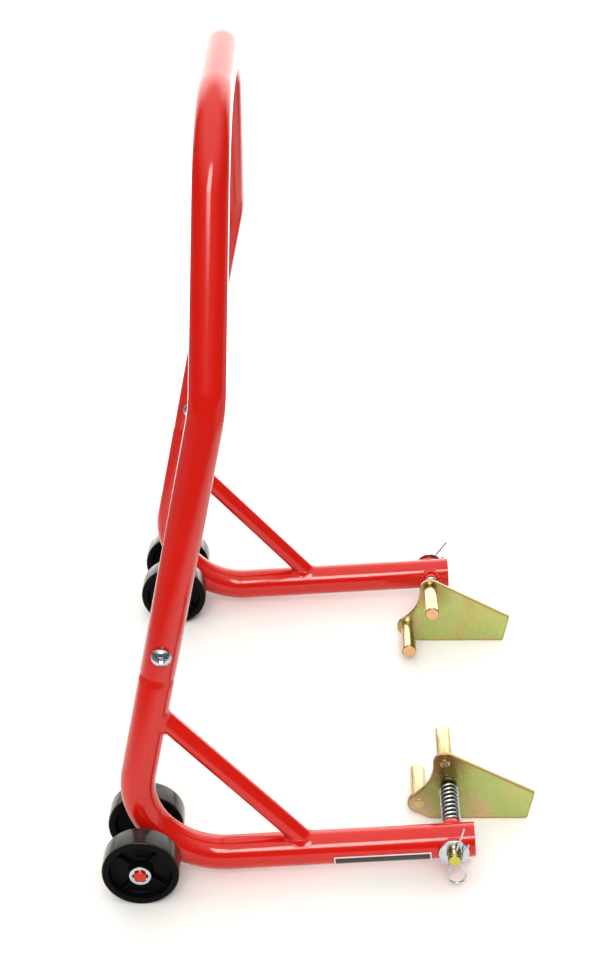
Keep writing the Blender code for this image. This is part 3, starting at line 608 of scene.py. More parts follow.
spigot_top = JOINT + leg_along * SPIGOT_LENGTH
cone_end = JOINT - leg_along * SPIGOT_CONE
spigot_run = np.linspace(spigot_top, JOINT, 12)[:-1]
cone_run = np.linspace(JOINT, cone_end, 46)[:-1]
bend_run = rounded([cone_end, corner, TIP], ELBOW_BEND, steps=48)
arm_path = np.concatenate([spigot_run, cone_run, bend_run])
below_joint = (JOINT - arm_path) @ leg_along
spigot_inset = TUBE_WALL + SPIGOT_FIT - SPIGOT_STEP
arm_radius = TUBE - SPIGOT_STEP * (1 - ease(below_joint / SPIGOT_CONE))
arm_radius = arm_radius - spigot_inset * (1 - ease(below_joint / SEAT_GAP - 1))
for name, side in SIDES.items():
    path = arm_path + np.array([0, side * HALF_TRACK, 0])
    arm_sheet = tube_shell(path, arm_radius, TUBE_WALL, LIP, Y_AXIS)
    make_piece(f"arm_{name}", [arm_sheet], powder_coat, "frame", [f"arm_tube_{name}"])

# %% [markdown]
# ## Braces and welds
# A brace is a thinner tube cut to fit against two round tubes. Each line along the brace is followed
# until it meets the other tube's surface, which is a quadratic equation, and that gives the fish-mouth
# ends. The same curve is where the welder filled the corner. That fillet leaves the brace a few
# millimetres from the corner, meets the tube as far from it, and sags between the two like a Bezier
# curve. Other welds here are beads: a rope with small waves for the puddles that set one after another.

# %% Braces and their welds
BRACE_RADIUS = half_size("brace_right", 1)
BRACE_WALL = 1.5 * MM
BRACE_ON_LEG = 198.5 * MM
BRACE_ON_ARM = AXLE[0] + 166.5 * MM
BEAD_PITCH = 2.6 * MM
PUDDLE_SHARE = 0.07
BEAD_WAVES = [(0.06, 3, 1), (0.04, 7, 0)]
FILLET = 3.8 * MM
FILLET_WAVES = [(0.14, 2, 1), (0.08, 5, 0), (0.03, 23, 0)]
FILLET_FULLNESS = 0.2
SUNK = 0.3 * MM


def reach_to_tube(starts, direction, centre, along, radius):
    """How far lines run before they meet a tube. With w and e the start's and the direction's parts square
    to the tube's axis, |w + s e| = radius is a quadratic in s, and the nearer answer is taken."""
    w = starts - centre
    w = w - (w @ along)[..., None] * along
    e = direction - (direction @ along) * along
    a, b, c = e @ e, 2 * (w @ e), (w * w).sum(axis=-1) - radius**2
    return (-b - np.sqrt(b * b - 4 * a * c)) / (2 * a)


def hand_drift(angle, waves):
    """1 plus sine waves, each a share, a count and a phase: the unevenness of work done by hand."""
    return sum((share * np.sin(count * angle + phase) for share, count, phase in waves), 1)


def weld_bead(path, hint, radius, closed=True):
    """A bead along a path: a rope whose radius ripples once for each puddle, and drifts slowly."""
    steps = np.linalg.norm(np.diff(path, axis=0, append=path[:1] if closed else path[-1:]), axis=1)
    run = np.concatenate([[0], np.cumsum(steps)[:-1]])
    puddles = max(3, round(steps.sum() / BEAD_PITCH))
    phase = run / steps.sum() * 2 * math.pi
    ripple = hand_drift(phase, [(PUDDLE_SHARE, puddles, 0), *BEAD_WAVES])
    return swept(path, radius * ripple, hint, sides=16, closed=closed)


def brace_sheets(side):
    """A brace's pipe, and the fillets at its two ends."""
    leg_end = at_side(on_leg(BRACE_ON_LEG), side)
    arm_end = at_side(on_arm(BRACE_ON_ARM), side)
    axis = unit(arm_end - leg_end)
    middle = (leg_end + arm_end) / 2
    spoke = spokes(axis, FINE_SIDES)

    def skin(radius, sunk):
        """The two ends of each line along the brace at that radius, sunk a little into the tubes."""
        starts = middle + np.reshape(radius, (-1, 1)) * spoke
        to_leg = reach_to_tube(starts, -axis, leg_end, leg_along, TUBE) + sunk
        to_arm = reach_to_tube(starts, axis, arm_end, arm_along, TUBE) + sunk
        return starts - to_leg[:, None] * axis, starts + to_arm[:, None] * axis

    def fillet(end, away):
        """A weld's closed section at each angle: on the brace, over a Bezier curve to the tube, and back
        inside the metal. Its size drifts as it goes round."""
        size = FILLET * hand_drift(ring_angles(FINE_SIDES)[:, None], FILLET_WAVES)
        seam = skin(BRACE_RADIUS, 0.0)[end]
        on_brace = seam + size * away
        on_tube = skin(BRACE_RADIUS + size, 0.0)[end]
        pull = seam + FILLET_FULLNESS * (on_brace + on_tube - 2 * seam)
        t = np.linspace(0, 1, 9)[:, None, None]
        curve = (1 - t) ** 2 * on_brace + 2 * t * (1 - t) * pull + t**2 * on_tube
        under_tube = skin(BRACE_RADIUS + size, SUNK)[end]
        under_seam = skin(BRACE_RADIUS - SUNK, SUNK)[end]
        under_brace = on_brace - SUNK * spoke
        under = np.stack([under_tube, under_seam, under_brace])
        return sheet(np.concatenate([curve, under]), wrap_rows=True)

    outer = skin(BRACE_RADIUS, SUNK)
    inner = skin(BRACE_RADIUS - BRACE_WALL, SUNK)
    pipe = sheet(np.stack([outer[0], outer[1], inner[1], inner[0]]), wrap_rows=True)
    return [pipe], [fillet(0, axis), fillet(1, -axis)]


for name, side in SIDES.items():
    pipe, beads = brace_sheets(side)
    make_piece(f"brace_tube_{name}", pipe, powder_coat, "frame", [f"brace_{name}"])
    make_piece(f"brace_welds_{name}", beads, powder_coat, "frame", sharp=WELD_SHARP)

# %% [markdown]
# ## Pivot sleeves
# A short sleeve passes through each arm near its tip, and the pivot pin turns in it. A weld runs round it
# on both sides of the arm. On that saddle the arm's surface stands y = sqrt(R^2 - h^2) from its axis,
# where h is how far the point lies above or below it.

# %% Pivot sleeves
SLEEVE_RADIUS = half_size("pivot_sleeve_right", 0)
SLEEVE_ENDS = ends_inwards("pivot_sleeve_right")
SLEEVE_INNER_END = SLEEVE_ENDS[1]
SLEEVE_BEAD = 2.6 * MM
SEAM_OFF = 0.8 * MM
PIVOT_RADIUS = half_size("pivot_pin_right", 0)
RUNNING = 0.15 * MM
EDGE = 0.5 * MM


def turned_ring(inner, outer, start, end, centre, axis):
    """A ring of square section with rounded edges, between two distances along its axis."""
    outline = [(outer, end), (outer, start), (inner, start), (inner, end)]
    return turned(rounded(outline, EDGE, 4, closed=True), centre, axis, wrap_rows=True)


def sleeve_seam(side, face):
    """The curve where the sleeve meets the arm's surface, on its inner side for face 1 and outer for -1."""
    angle = ring_angles(120)
    radius = SLEEVE_RADIUS + SEAM_OFF
    height = radius * np.sin(angle - ARM_RISE)
    inwards = face * np.sqrt(TUBE**2 - height**2)
    return placed(PIVOT[0] + radius * np.cos(angle), PIVOT[2] + radius * np.sin(angle), side, inwards)


for name, side in SIDES.items():
    centre = at_side(PIVOT, side)
    sleeve = turned_ring(PIVOT_RADIUS + RUNNING, SLEEVE_RADIUS, *SLEEVE_ENDS, centre, -side * Y_AXIS)
    make_piece(f"sleeve_{name}", [sleeve], powder_coat, "frame", [f"pivot_sleeve_{name}"])
    seams = [weld_bead(sleeve_seam(side, face), Y_AXIS, SLEEVE_BEAD) for face in (1, -1)]
    make_piece(f"sleeve_welds_{name}", seams, powder_coat, "frame", sharp=WELD_SHARP)

# %% [markdown]
# ## Axles and wheels
# An axle rod is welded across the outside of each elbow, with a wheel on either side of it. A wheel is a
# moulding: a tread, a rim, a web set back from both faces, a hub and a few ribs. Its section is turned
# with rounded corners, since plastic fills a mould's corners with a radius, and the ribs are slim bars
# that run from the hub to the rim. The rod's section goes from the middle of one end to the middle of the
# other, with a chamfer at each.

# %% Axles
AXLE_HALF = half_size("axle_right", 1)
AXLE_CHAMFER = 0.8 * MM
AXLE_EDGE = 0.15 * MM
AXLE_BEAD = 3.0 * MM
CREASE_IN, CREASE_ACROSS, CREASE_HALF = 0.55, 0.95, 0.6

axle_end = [(0, AXLE_HALF), (AXLE_RADIUS - AXLE_CHAMFER, AXLE_HALF), (AXLE_RADIUS, AXLE_HALF - AXLE_CHAMFER)]
axle_profile = rounded([(r, -y) for r, y in axle_end] + axle_end[::-1], AXLE_EDGE, 3)


def axle_crease(side, way):
    """A line along the axle, in the crease that it makes with the elbow, above or below their contact."""
    across = np.cross(elbow_inwards, Y_AXIS)
    inwards = elbow_inwards * (AXLE_RADIUS * CREASE_IN)
    crease = at_side(AXLE, side) + inwards + across * way * AXLE_RADIUS * CREASE_ACROSS
    return crease + np.linspace(-CREASE_HALF, CREASE_HALF, 60)[:, None] * TUBE * Y_AXIS


for name, side in SIDES.items():
    rod = turned(axle_profile, at_side(AXLE, side), Y_AXIS)
    make_piece(f"axle_rod_{name}", [rod], powder_coat, "frame", [f"axle_{name}"])
    beads = [weld_bead(axle_crease(side, way), X_AXIS, AXLE_BEAD, closed=False) for way in (1, -1)]
    make_piece(f"axle_welds_{name}", beads, powder_coat, "frame", sharp=WELD_SHARP)

# %% Wheels
WHEEL_PLACES = (("outer", 1), ("inner", -1))
WHEELS = {f"{name}_{where}": (side, away) for name, side in SIDES.items() for where, away in WHEEL_PLACES}
WHEEL_RADIUS = half_size("wheel_right_outer", 2)
HUB_HALF = half_size("wheel_right_outer", 1)
WHEEL_OFFSET = -np.mean(ends_inwards("wheel_right_outer"))
RIM_FACE = 12 * MM
RIM_INNER = 30 * MM
WEB_FACE = 3 * MM
HUB_RADIUS = 11.5 * MM
WHEEL_BORE = AXLE_RADIUS + RUNNING
HUB_DRAFT, RIM_DRAFT = 0.5 * MM, 0.6 * MM
RIB_COUNT = 4
RIB_PHASE = math.radians(52)
RIB_HALF_WIDTH = 1.25 * MM
RIB_FACE = 8 * MM
RIB_SUNK = 1 * MM
BAR_EDGE = 0.3
TREAD_BAND, TREAD_FADE = 1.2 * MM, 1.0 * MM

half_section = [
    (WHEEL_BORE, HUB_HALF, 0.3),
    (HUB_RADIUS - HUB_DRAFT, HUB_HALF, 0.8),
    (HUB_RADIUS, WEB_FACE, 2.0),
    (RIM_INNER, WEB_FACE, 2.5),
    (RIM_INNER + RIM_DRAFT, RIM_FACE, 0.9),
    (WHEEL_RADIUS, RIM_FACE, 1.8),
]
wheel_corners = np.array(half_section + [(r, -z, edge) for r, z, edge in half_section[::-1]])
wheel_section = rounded(wheel_corners[::-1, :2], wheel_corners[::-1, 2] * MM, 5, closed=True)


def bar(start, end, width, height):
    """A slim bar from start to end: a rounded rectangle at both ends, spanned by half its width and half
    its height, and closed by rows that shrink to the middle of each end."""
    section = rounded([(-1, -1), (1, -1), (1, 1), (-1, 1)], BAR_EDGE, 4, closed=True)
    ring = section[:, :1] * width + section[:, 1:] * height
    rows = [start + 0 * ring, start + ring, end + ring, end + 0 * ring]
    return sheet(np.stack(rows))


def wheel_sheets(side, away):
    """A wheel's turned body and its ribs."""
    centre = at_side(AXLE, side, -away * WHEEL_OFFSET)
    tread = ease((wheel_section[:, 0] - (WHEEL_RADIUS - TREAD_BAND)) / TREAD_FADE)
    parts = [turned(wheel_section, centre, Y_AXIS, FINE_SIDES, wrap_rows=True, tread=tread[:, None])]
    for angle in RIB_PHASE + ring_angles(RIB_COUNT):
        spoke = np.array([math.cos(angle), 0, math.sin(angle)])
        across = np.array([-math.sin(angle), 0, math.cos(angle)])
        inner, outer = centre + spoke * (HUB_RADIUS - RIB_SUNK), centre + spoke * (RIM_INNER + RIB_SUNK)
        parts.append(bar(inner, outer, across * RIB_HALF_WIDTH, Y_AXIS * RIB_FACE))
    return parts


for wheel, (side, away) in WHEELS.items():
    node = f"wheel_{wheel}"
    make_piece(f"{node}_moulding", wheel_sheets(side, away), black_plastic, node, [node])

# %% [markdown]
# A spacer keeps each wheel off the elbow, and a ring pressed onto the axle's end keeps it on. The ring is
# a flat washer whose inner edge is cut into teeth, so its inner radius swings between two values as it
# goes round.

# %% Spacers and axle rings
SPACER_RADIUS = half_size("wheel_spacer_right_outer", 0)
CLIP_RADIUS = half_size("axle_clip_right_outer", 0)
CLIP_BITE = 0.4 * MM
CLIP_EDGE = 0.3 * MM
CLIP_TEETH = 6
CLIP_TOOTH = 2.0 * MM
CLIP_GAP, CLIP_SLOPE = 1.25, 1.6


def axle_ring(node):
    """A toothed ring in a node's box: the turned section's inner radius grows between the teeth."""
    low, high = low_high(node)
    half = (high[1] - low[1]) / 2
    inner = AXLE_RADIUS - CLIP_BITE
    outline = [(CLIP_RADIUS, half), (CLIP_RADIUS, -half), (inner, -half), (inner, half)]
    section = rounded(outline, CLIP_EDGE, 4, closed=True)
    part = turned(section, AXLE + (low + high) / 2 * Y_AXIS, Y_AXIS, FINE_SIDES, wrap_rows=True)
    gap = CLIP_TOOTH * ease(CLIP_GAP - CLIP_SLOPE * np.cos(CLIP_TEETH * ring_angles(FINE_SIDES)))
    share = (CLIP_RADIUS - section[:, 0]) / (CLIP_RADIUS - inner)
    part["points"] += (share[:, None] * gap)[:, :, None] * spokes(Y_AXIS, FINE_SIDES)
    return part


for wheel in WHEELS:
    low, high = low_high(f"wheel_spacer_{wheel}")
    spacer = turned_ring(WHEEL_BORE, SPACER_RADIUS, low[1], high[1], AXLE, Y_AXIS)
    make_piece(f"spacer_{wheel}", [spacer], bright_zinc, "frame", [f"wheel_spacer_{wheel}"])
    ring = axle_ring(f"axle_clip_{wheel}")
    make_piece(f"axle_ring_{wheel}", [ring], bright_zinc, "frame", [f"axle_clip_{wheel}"])

# %% [markdown]
# ## Joint bolts
# A button-head bolt holds each handle leg to its spigot. The head is a dome with a hexagonal socket. Both
# are one sheet: its rows start as circles on the dome and turn into hexagons at the socket's mouth, where
# the radius is the flat's distance over the cosine of the angle to the nearest flat.

# %% Joint bolts and nuts
BOLT_SHANK = 5 * MM
SOCKET_FLAT = 3.25 * MM
SOCKET_DEPTH = 3.5 * MM
SOCKET_TAPER, SOCKET_POINT = 0.05 * MM, 0.6 * MM
MOUTH_EDGE = 0.35 * MM
HEAD_RIM = 1.0 * MM
HEAD_EDGE = 0.3 * MM
DOME_TURN, DOME_SHARE = math.radians(62), 0.52
BOLT_TIP = 0.6 * MM
NUT_FLAT = 8.5 * MM
NUT_FACE = 0.97 * NUT_FLAT
NUT_BORE = BOLT_SHANK + 0.1 * MM
NUT_MOUTH = 0.5 * MM
NUT_CHAMFER = math.tan(math.radians(30))
BOLT_SEAT = TUBE + SEAT_GAP


def hexagon(angle, flat):
    """The radius of a hexagon with that distance to its flats, in a direction."""
    nearest = (angle + math.pi / 6) % (math.pi / 3) - math.pi / 6
    return flat / np.cos(nearest)


def polar_sheet(radii, heights, centre, axis, wrap_rows=False):
    """Rows of radius and height about an axis, where either may change as the row goes round."""
    radius, height = (
        np.stack([np.broadcast_to(value, FINE_SIDES) for value in rows])[:, :, None]
        for rows in (radii, heights)
    )
    return sheet(centre + height * axis + radius * spokes(axis, FINE_SIDES), wrap_rows)


def bolt_sheet(low, high):
    """The bolt between its box's two faces, its head towards -Y."""
    head = (high[0] - low[0]) / 2
    centre = np.array([(low[0] + high[0]) / 2, 0, (low[2] + high[2]) / 2])
    seat = math.copysign(HALF_TRACK, low[1]) - BOLT_SEAT
    rise = seat - low[1]
    tail = seat - high[1]
    a = np.linspace(0, 1, 9) * DOME_TURN
    dome_radius = head * (1 - DOME_SHARE * (1 - np.cos(a)) / (1 - math.cos(DOME_TURN)))
    dome_height = HEAD_RIM + (rise - HEAD_RIM) * np.sin(a) / math.sin(DOME_TURN)
    mouth = hexagon(ring_angles(FINE_SIDES), SOCKET_FLAT)
    bottom = rise - SOCKET_DEPTH
    radii = [0, BOLT_SHANK - BOLT_TIP, BOLT_SHANK, BOLT_SHANK, head - HEAD_EDGE, head, *dome_radius]
    heights = [tail, tail, tail + BOLT_TIP, 0, 0, HEAD_EDGE, *dome_height]
    radii += [mouth + MOUTH_EDGE, mouth, mouth - SOCKET_TAPER, 0]
    heights += [rise, rise - MOUTH_EDGE, bottom, bottom - SOCKET_POINT]
    return polar_sheet(radii, heights, centre + seat * Y_AXIS, -Y_AXIS)


def nut_sheet(low, high):
    """A hexagonal nut: each face falls away at 30 degrees outside a circle that fits inside the flats."""
    centre = (low + high) / 2
    half = (high[1] - low[1]) / 2
    outer = hexagon(ring_angles(FINE_SIDES), NUT_FLAT)
    drop = (outer - NUT_FACE) * NUT_CHAMFER
    radii = [NUT_BORE, NUT_BORE + NUT_MOUTH, NUT_FACE, outer]
    radii += radii[::-1]
    top = [half - NUT_MOUTH, half, half, half - drop]
    heights = top + [-h for h in top[::-1]]
    return polar_sheet(radii, heights, centre, Y_AXIS, wrap_rows=True)


for name in SIDES:
    bolt = bolt_sheet(*low_high(f"joint_bolt_{name}"))
    make_piece(f"bolt_{name}", [bolt], bright_zinc, "frame", [f"joint_bolt_{name}"])
    nut = nut_sheet(*low_high(f"joint_nut_{name}"))
    make_piece(f"nut_{name}", [nut], bright_zinc, "frame", [f"joint_nut_{name}"], sharp=NUT_SHARP)

# %% [markdown]
# ## Cradle plates
# A cradle plate is a flat outline with a hollow between two round lobes. Seen from a point near its
# middle, every part of its edge is in view, so the whole plate can be one sheet: each row is the outline,
# shrunk towards that point, and the rows near the edge roll over it with a small radius. Two rows a
# little inside the edge fade its tan mark out over the face.

# %% Cradle plates
PLATE_OUTER, PLATE_INNER = ends_inwards("cradle_plate_right")
UPPER_PIN = np.array([-4.5, 30.9]) * MM
LOWER_PIN = np.array([-29.5, -19.3]) * MM
LOBE = 12 * MM
HOLLOW = 42 * MM
FOOT_BACK, FOOT_FRONT = -16.5 * MM, 81.7 * MM
TAIL = np.array([88.5, -6.3]) * MM
PLATE_CORNER = 3 * MM
PLATE_EDGE = 0.7 * MM
PLATE_BAND = 2.0 * MM
PLATE_HEART = np.array([8.0, 2.0]) * MM
PLATE_STEP = 0.8 * MM
FACE_SHARES = np.array([0, 0.35, 0.7, 0.9])
MARGIN_SHARES = np.array([1.0, 0.5])
MARGIN_MARK, ROLL_MARK = 0.6, 0.85


def heading(vector):
    """A flat vector's angle from the first axis."""
    return math.atan2(vector[1], vector[0])


def arc(centre, radius, start, end, count):
    """Points on a circle between two angles: centre + radius (cos a, sin a)."""
    angle = np.linspace(start, end, count)[:, None]
    return centre + radius * np.concatenate([np.cos(angle), np.sin(angle)], axis=1)


def touching(centre, radius, point, way):
    """The heading from a circle's centre to where a line from the point touches the circle."""
    away = point - centre
    return heading(away) + way * math.acos(radius / np.linalg.norm(away))


def onward(start, end):
    """The end heading, counted anticlockwise from the start."""
    return start + (end - start) % (2 * math.pi)


def plate_outline():
    """The plate's edge, anticlockwise about the pivot: foot, tail, slope, lobe, hollow and lower lobe."""
    foot_back, foot_front = np.array([(FOOT_BACK, -PIVOT[2]), (FOOT_FRONT, -PIVOT[2])])
    slope = touching(UPPER_PIN, LOBE, TAIL, 1)
    slope_top = UPPER_PIN + LOBE * np.array([math.cos(slope), math.sin(slope)])
    across = UPPER_PIN - LOWER_PIN
    outwards = unit(np.array([-across[1], across[0]]))
    reach = math.sqrt((HOLLOW + LOBE) ** 2 - (across @ across) / 4)
    hollow = (UPPER_PIN + LOWER_PIN) / 2 + outwards * reach
    upper_end = onward(slope, heading(hollow - UPPER_PIN))
    lobe_start = heading(hollow - LOWER_PIN)
    lobe_end = onward(lobe_start, touching(LOWER_PIN, LOBE, foot_back, -1))
    lobe_last = LOWER_PIN + LOBE * np.array([math.cos(lobe_end), math.sin(lobe_end)])
    straight = rounded([lobe_last, foot_back, foot_front, TAIL, slope_top], PLATE_CORNER, 10)
    upper = arc(UPPER_PIN, LOBE, slope, upper_end, 40)
    inner = arc(hollow, HOLLOW, heading(UPPER_PIN - hollow), heading(LOWER_PIN - hollow), 40)
    lower = arc(LOWER_PIN, LOBE, lobe_start, lobe_end, 40)
    return np.concatenate([straight[:-1], upper[:-1], inner[1:-1], lower[:-1]])


def evenly(outline, step):
    """The same closed outline with points about that far apart."""
    steps = np.linalg.norm(np.roll(outline, -1, axis=0) - outline, axis=1)
    run = np.concatenate([[0], np.cumsum(steps)])
    count = int(run[-1] / step)
    where = np.linspace(0, run[-1], count, endpoint=False)
    looped = np.concatenate([outline, outline[:1]])
    return np.stack([np.interp(where, run, looped[:, axis]) for axis in range(2)], axis=1)


plate_edge = evenly(plate_outline(), PLATE_STEP)
edge_along = unit(np.roll(plate_edge, -1, axis=0) - np.roll(plate_edge, 1, axis=0))
edge_out = np.stack([edge_along[:, 1], -edge_along[:, 0]], axis=1)


def plate_sheet(side):
    """Rows from the middle of one face to the middle of the other. They lie at heart + s (rim - heart) on
    the faces. Round the edge they lie r sin a out from the rim and r (1 - cos a) below the face."""
    half = (PLATE_INNER - PLATE_OUTER) / 2
    middle = (PLATE_INNER + PLATE_OUTER) / 2
    rim = plate_edge - PLATE_EDGE * edge_out
    face = PLATE_HEART + FACE_SHARES[:, None, None] * (rim - PLATE_HEART)
    margin = rim - PLATE_BAND * MARGIN_SHARES[:, None, None] * edge_out
    roll = np.linspace(0, math.pi / 2, 6)
    rolled = rim + PLATE_EDGE * np.sin(roll)[:, None, None] * edge_out
    flat = np.concatenate([face, margin, rolled])
    face_rows = len(face) + len(margin)
    over = np.concatenate([np.full(face_rows, half), half - PLATE_EDGE * (1 - np.cos(roll))])
    flat = np.concatenate([flat, flat[::-1]])
    over = middle + np.concatenate([over, -over[::-1]])
    edge = np.concatenate([np.zeros(face_rows - 1), [MARGIN_MARK], np.linspace(ROLL_MARK, 1, len(roll))])
    edge = np.concatenate([edge, edge[::-1]])
    points = placed(PIVOT[0] + flat[..., 0], PIVOT[2] + flat[..., 1], side, over[:, None])
    return sheet(points, edge=edge[:, None])


for name, side in SIDES.items():
    plate, node = plate_sheet(side), f"cradle_plate_{name}"
    make_piece(f"plate_{name}", [plate], plate_passivate, f"bracket_{name}", [node])
print("plate outline:", len(plate_edge), "points")

# %% [markdown]
# ## Pins
# Two pins on each plate carry the swingarm, and a third, longer one is the pivot. Each was pushed through
# the plate and hammered over, so a shallow button shows on the plate's far face. All three are turned.

# %% Cradle pins and pivot pins
CRADLE_RADIUS = half_size("cradle_pin_upper_right", 0)
_, CRADLE_END = ends_inwards("cradle_pin_upper_right")
PIVOT_PIN_END, _ = ends_inwards("pivot_pin_right")
PIN_CHAMFER = 0.8 * MM
RIVET_RADIUS = 5 * MM
RIVET_PROUD, RIVET_SUNK = 0.45 * MM, 1 * MM
RIVET_FALL = 0.7
PIN_EDGE = 0.2 * MM
END_NEAR = 0.05 * MM
FLAT_SHARE, CHAMFER_SHARE = 0.9, 1.05
# Painted shade along the pivot pin: full inside the spring, half through the sleeve and outside the arm.
SHADE_IN_SPRING, SHADE_OUTSIDE_SPRING = 1.0, 0.5


def button(radius, face, way):
    """A hammered button on a face: a shallow dome, from its middle out to its edge, then into the plate."""
    a = np.linspace(0, math.pi / 2, 7)
    dome = np.stack([radius * np.sin(a), face + way * RIVET_PROUD * np.cos(a) ** RIVET_FALL], axis=1)
    sunk = face - way * RIVET_SUNK
    return np.concatenate([dome, [[radius, sunk], [0, sunk]]])


def pin_profile(radius, seat, end):
    """A pin from its seat to its free end, with a chamfer there."""
    way = np.sign(end - seat)
    neck = end - way * PIN_CHAMFER
    outline = [(0, seat), (radius, seat), (radius, neck), (radius - PIN_CHAMFER, end), (0, end)]
    return rounded(outline, PIN_EDGE, 4)


def end_marks(profile, radius, end, face_mark):
    """1 on a pin's flat end for its own mark, and 1 on the chamfer round it for the painted shade mark."""
    to_end = np.abs(profile[:, 1] - end)
    flat = (to_end < END_NEAR) & (profile[:, 0] < radius - FLAT_SHARE * PIN_CHAMFER)
    # Painted shade: the chamfer ring round a pin's end is darkened.
    chamfer = ~flat & (to_end < CHAMFER_SHARE * PIN_CHAMFER)
    return {face_mark: flat[:, None].astype(float), "dull": chamfer[:, None].astype(float)}


for name, side in SIDES.items():
    inwards = -side * Y_AXIS
    body = f"bracket_{name}"
    for level, place in (("upper", UPPER_PIN), ("lower", LOWER_PIN)):
        centre = at_side(PIVOT + np.array([place[0], 0, place[1]]), side)
        profile = pin_profile(CRADLE_RADIUS, PLATE_INNER, CRADLE_END)
        ends = end_marks(profile, CRADLE_RADIUS, CRADLE_END, "copper")
        pin = turned(profile, centre, inwards, sides=PIN_SIDES, **ends)
        peen = turned(button(RIVET_RADIUS, PLATE_OUTER, -1), centre, inwards, sides=PIN_SIDES)
        node = f"cradle_pin_{level}_{name}"
        make_piece(f"pin_{level}_{name}", [pin, peen], pin_passivate, body, [node])
    centre = at_side(PIVOT, side)
    profile = pin_profile(PIVOT_RADIUS, PLATE_OUTER, PIVOT_PIN_END)
    slide_start = np.argmax(profile[:, 1] < SLEEVE_INNER_END)
    sleeve_rows = [(PIVOT_RADIUS, SLEEVE_INNER_END), (PIVOT_RADIUS, SLEEVE_INNER_END - EDGE)]
    profile = np.insert(profile, slide_start, sleeve_rows, axis=0)
    # Painted shade: the pivot pin is darkened inside the spring, and half as much elsewhere.
    grease = np.where(profile[:, 1:] >= SLEEVE_INNER_END, SHADE_IN_SPRING, SHADE_OUTSIDE_SPRING)
    ends = end_marks(profile, PIVOT_RADIUS, PIVOT_PIN_END, "lime")
    pin = turned(profile, centre, inwards, sides=PIN_SIDES, grease=grease, **ends)
    peen = turned(button(RIVET_RADIUS, PLATE_INNER, 1), centre, inwards, sides=PIN_SIDES)
    make_piece(f"pivot_rod_{name}", [pin, peen], pin_passivate, body, [f"pivot_pin_{name}"])

# %% [markdown]
# ## Washers, springs and clips
# The pivot pin is sprung: a coil between the arm and the plate pushes the cradle inwards, and a washer
# and a wire clip stop it on the arm's outer side. The coil is a helix whose rise is slow at both ends,
# where the turns close up. On the real stand the coil is squeezed towards the sleeve when the cradle slides
# out; here it is built at rest.

# %% Washers and springs
WASHER_RADIUS = half_size("pivot_washer_right", 0)
WASHER_FIT = 0.3 * MM
WASHER_ENDS = ends_inwards("pivot_washer_right")
SPRING_WIRE = 1.3 * MM
SPRING_COILS = 8
COIL_POINTS = 36
SPRING_END_TURNS = 0.75
SPRING_END_RISE = 3.4 * MM
SPRING_OUTER = 9.75 * MM
SPRING_RADIUS = SPRING_OUTER - SPRING_WIRE
SPRING_SEAT = SLEEVE_INNER_END + SEAT_GAP
SPRING_LENGTH = PLATE_OUTER - SEAT_GAP - SPRING_SEAT


def spring_path(side):
    """A helix about the pivot: the angle grows evenly, and the rise follows a line with flatter ends."""
    turns = SPRING_COILS + 2 * SPRING_END_TURNS
    turn = np.linspace(0, turns, int(turns * COIL_POINTS))
    closed = SPRING_END_RISE * SPRING_END_TURNS
    travel = SPRING_LENGTH - 2 * SPRING_WIRE
    bends = [0, SPRING_END_TURNS, turns - SPRING_END_TURNS, turns]
    rise = np.interp(turn, bends, [0, closed, travel - closed, travel])
    angle = 2 * math.pi * turn
    forward, upward = SPRING_RADIUS * np.cos(angle), side * SPRING_RADIUS * np.sin(angle)
    return placed(PIVOT[0] + forward, PIVOT[2] + upward, side, SPRING_SEAT + SPRING_WIRE + rise)


for name, side in SIDES.items():
    centre = at_side(PIVOT, side)
    washer = turned_ring(PIVOT_RADIUS + WASHER_FIT, WASHER_RADIUS, *WASHER_ENDS, centre, -side * Y_AXIS)
    make_piece(f"washer_{name}", [washer], bright_zinc, f"slider_{name}", [f"pivot_washer_{name}"])
    coil = swept(spring_path(side), SPRING_WIRE, Y_AXIS, sides=14)
    spring = make_piece(f"spring_{name}", [coil], bright_zinc, "frame", [f"pivot_spring_{name}"])
    anchor = at_side(PIVOT, side, SPRING_SEAT)
    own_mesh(spring)

# %% [markdown]
# The wire clip is a hairpin. One leg goes straight through the pin, a loop below it makes the spring, and
# the other leg bows round the pin and flares at its tip. Its path is drawn flat, in lines and arcs, then
# tilted to hang as it does in the photograph.

# %% Wire clips
CLIP_WIRE = 1.0 * MM
CLIP_LEG = 34 * MM
LOOP_RADIUS = 8.8 * MM
LOOP_DROP = 22.5 * MM
LOOP_OVER = math.radians(50)
BOW_SHARES = np.array([(1.12, -1), (1.08, 0), (0.92, 1), (1.25, 2.1)])
CLIP_TILT = {"right": math.radians(14), "left": math.radians(36)}


def smooth_through(knots, count):
    """A smooth curve through knots: cubic stretches whose slope at a knot is half the step across it."""
    ends = np.concatenate([[2 * knots[0] - knots[1]], knots, [2 * knots[-1] - knots[-2]]])
    a, b, c, d = (ends[i : len(ends) - 3 + i, None] for i in range(4))
    t = np.linspace(0, 1, count, endpoint=False)[None, :, None]
    curve = (2 * b + (c - a) * t + (2 * a - 5 * b + 4 * c - d) * t**2 + (3 * b - a - 3 * c + d) * t**3) / 2
    return np.concatenate([curve.reshape(-1, 2), knots[-1:]])


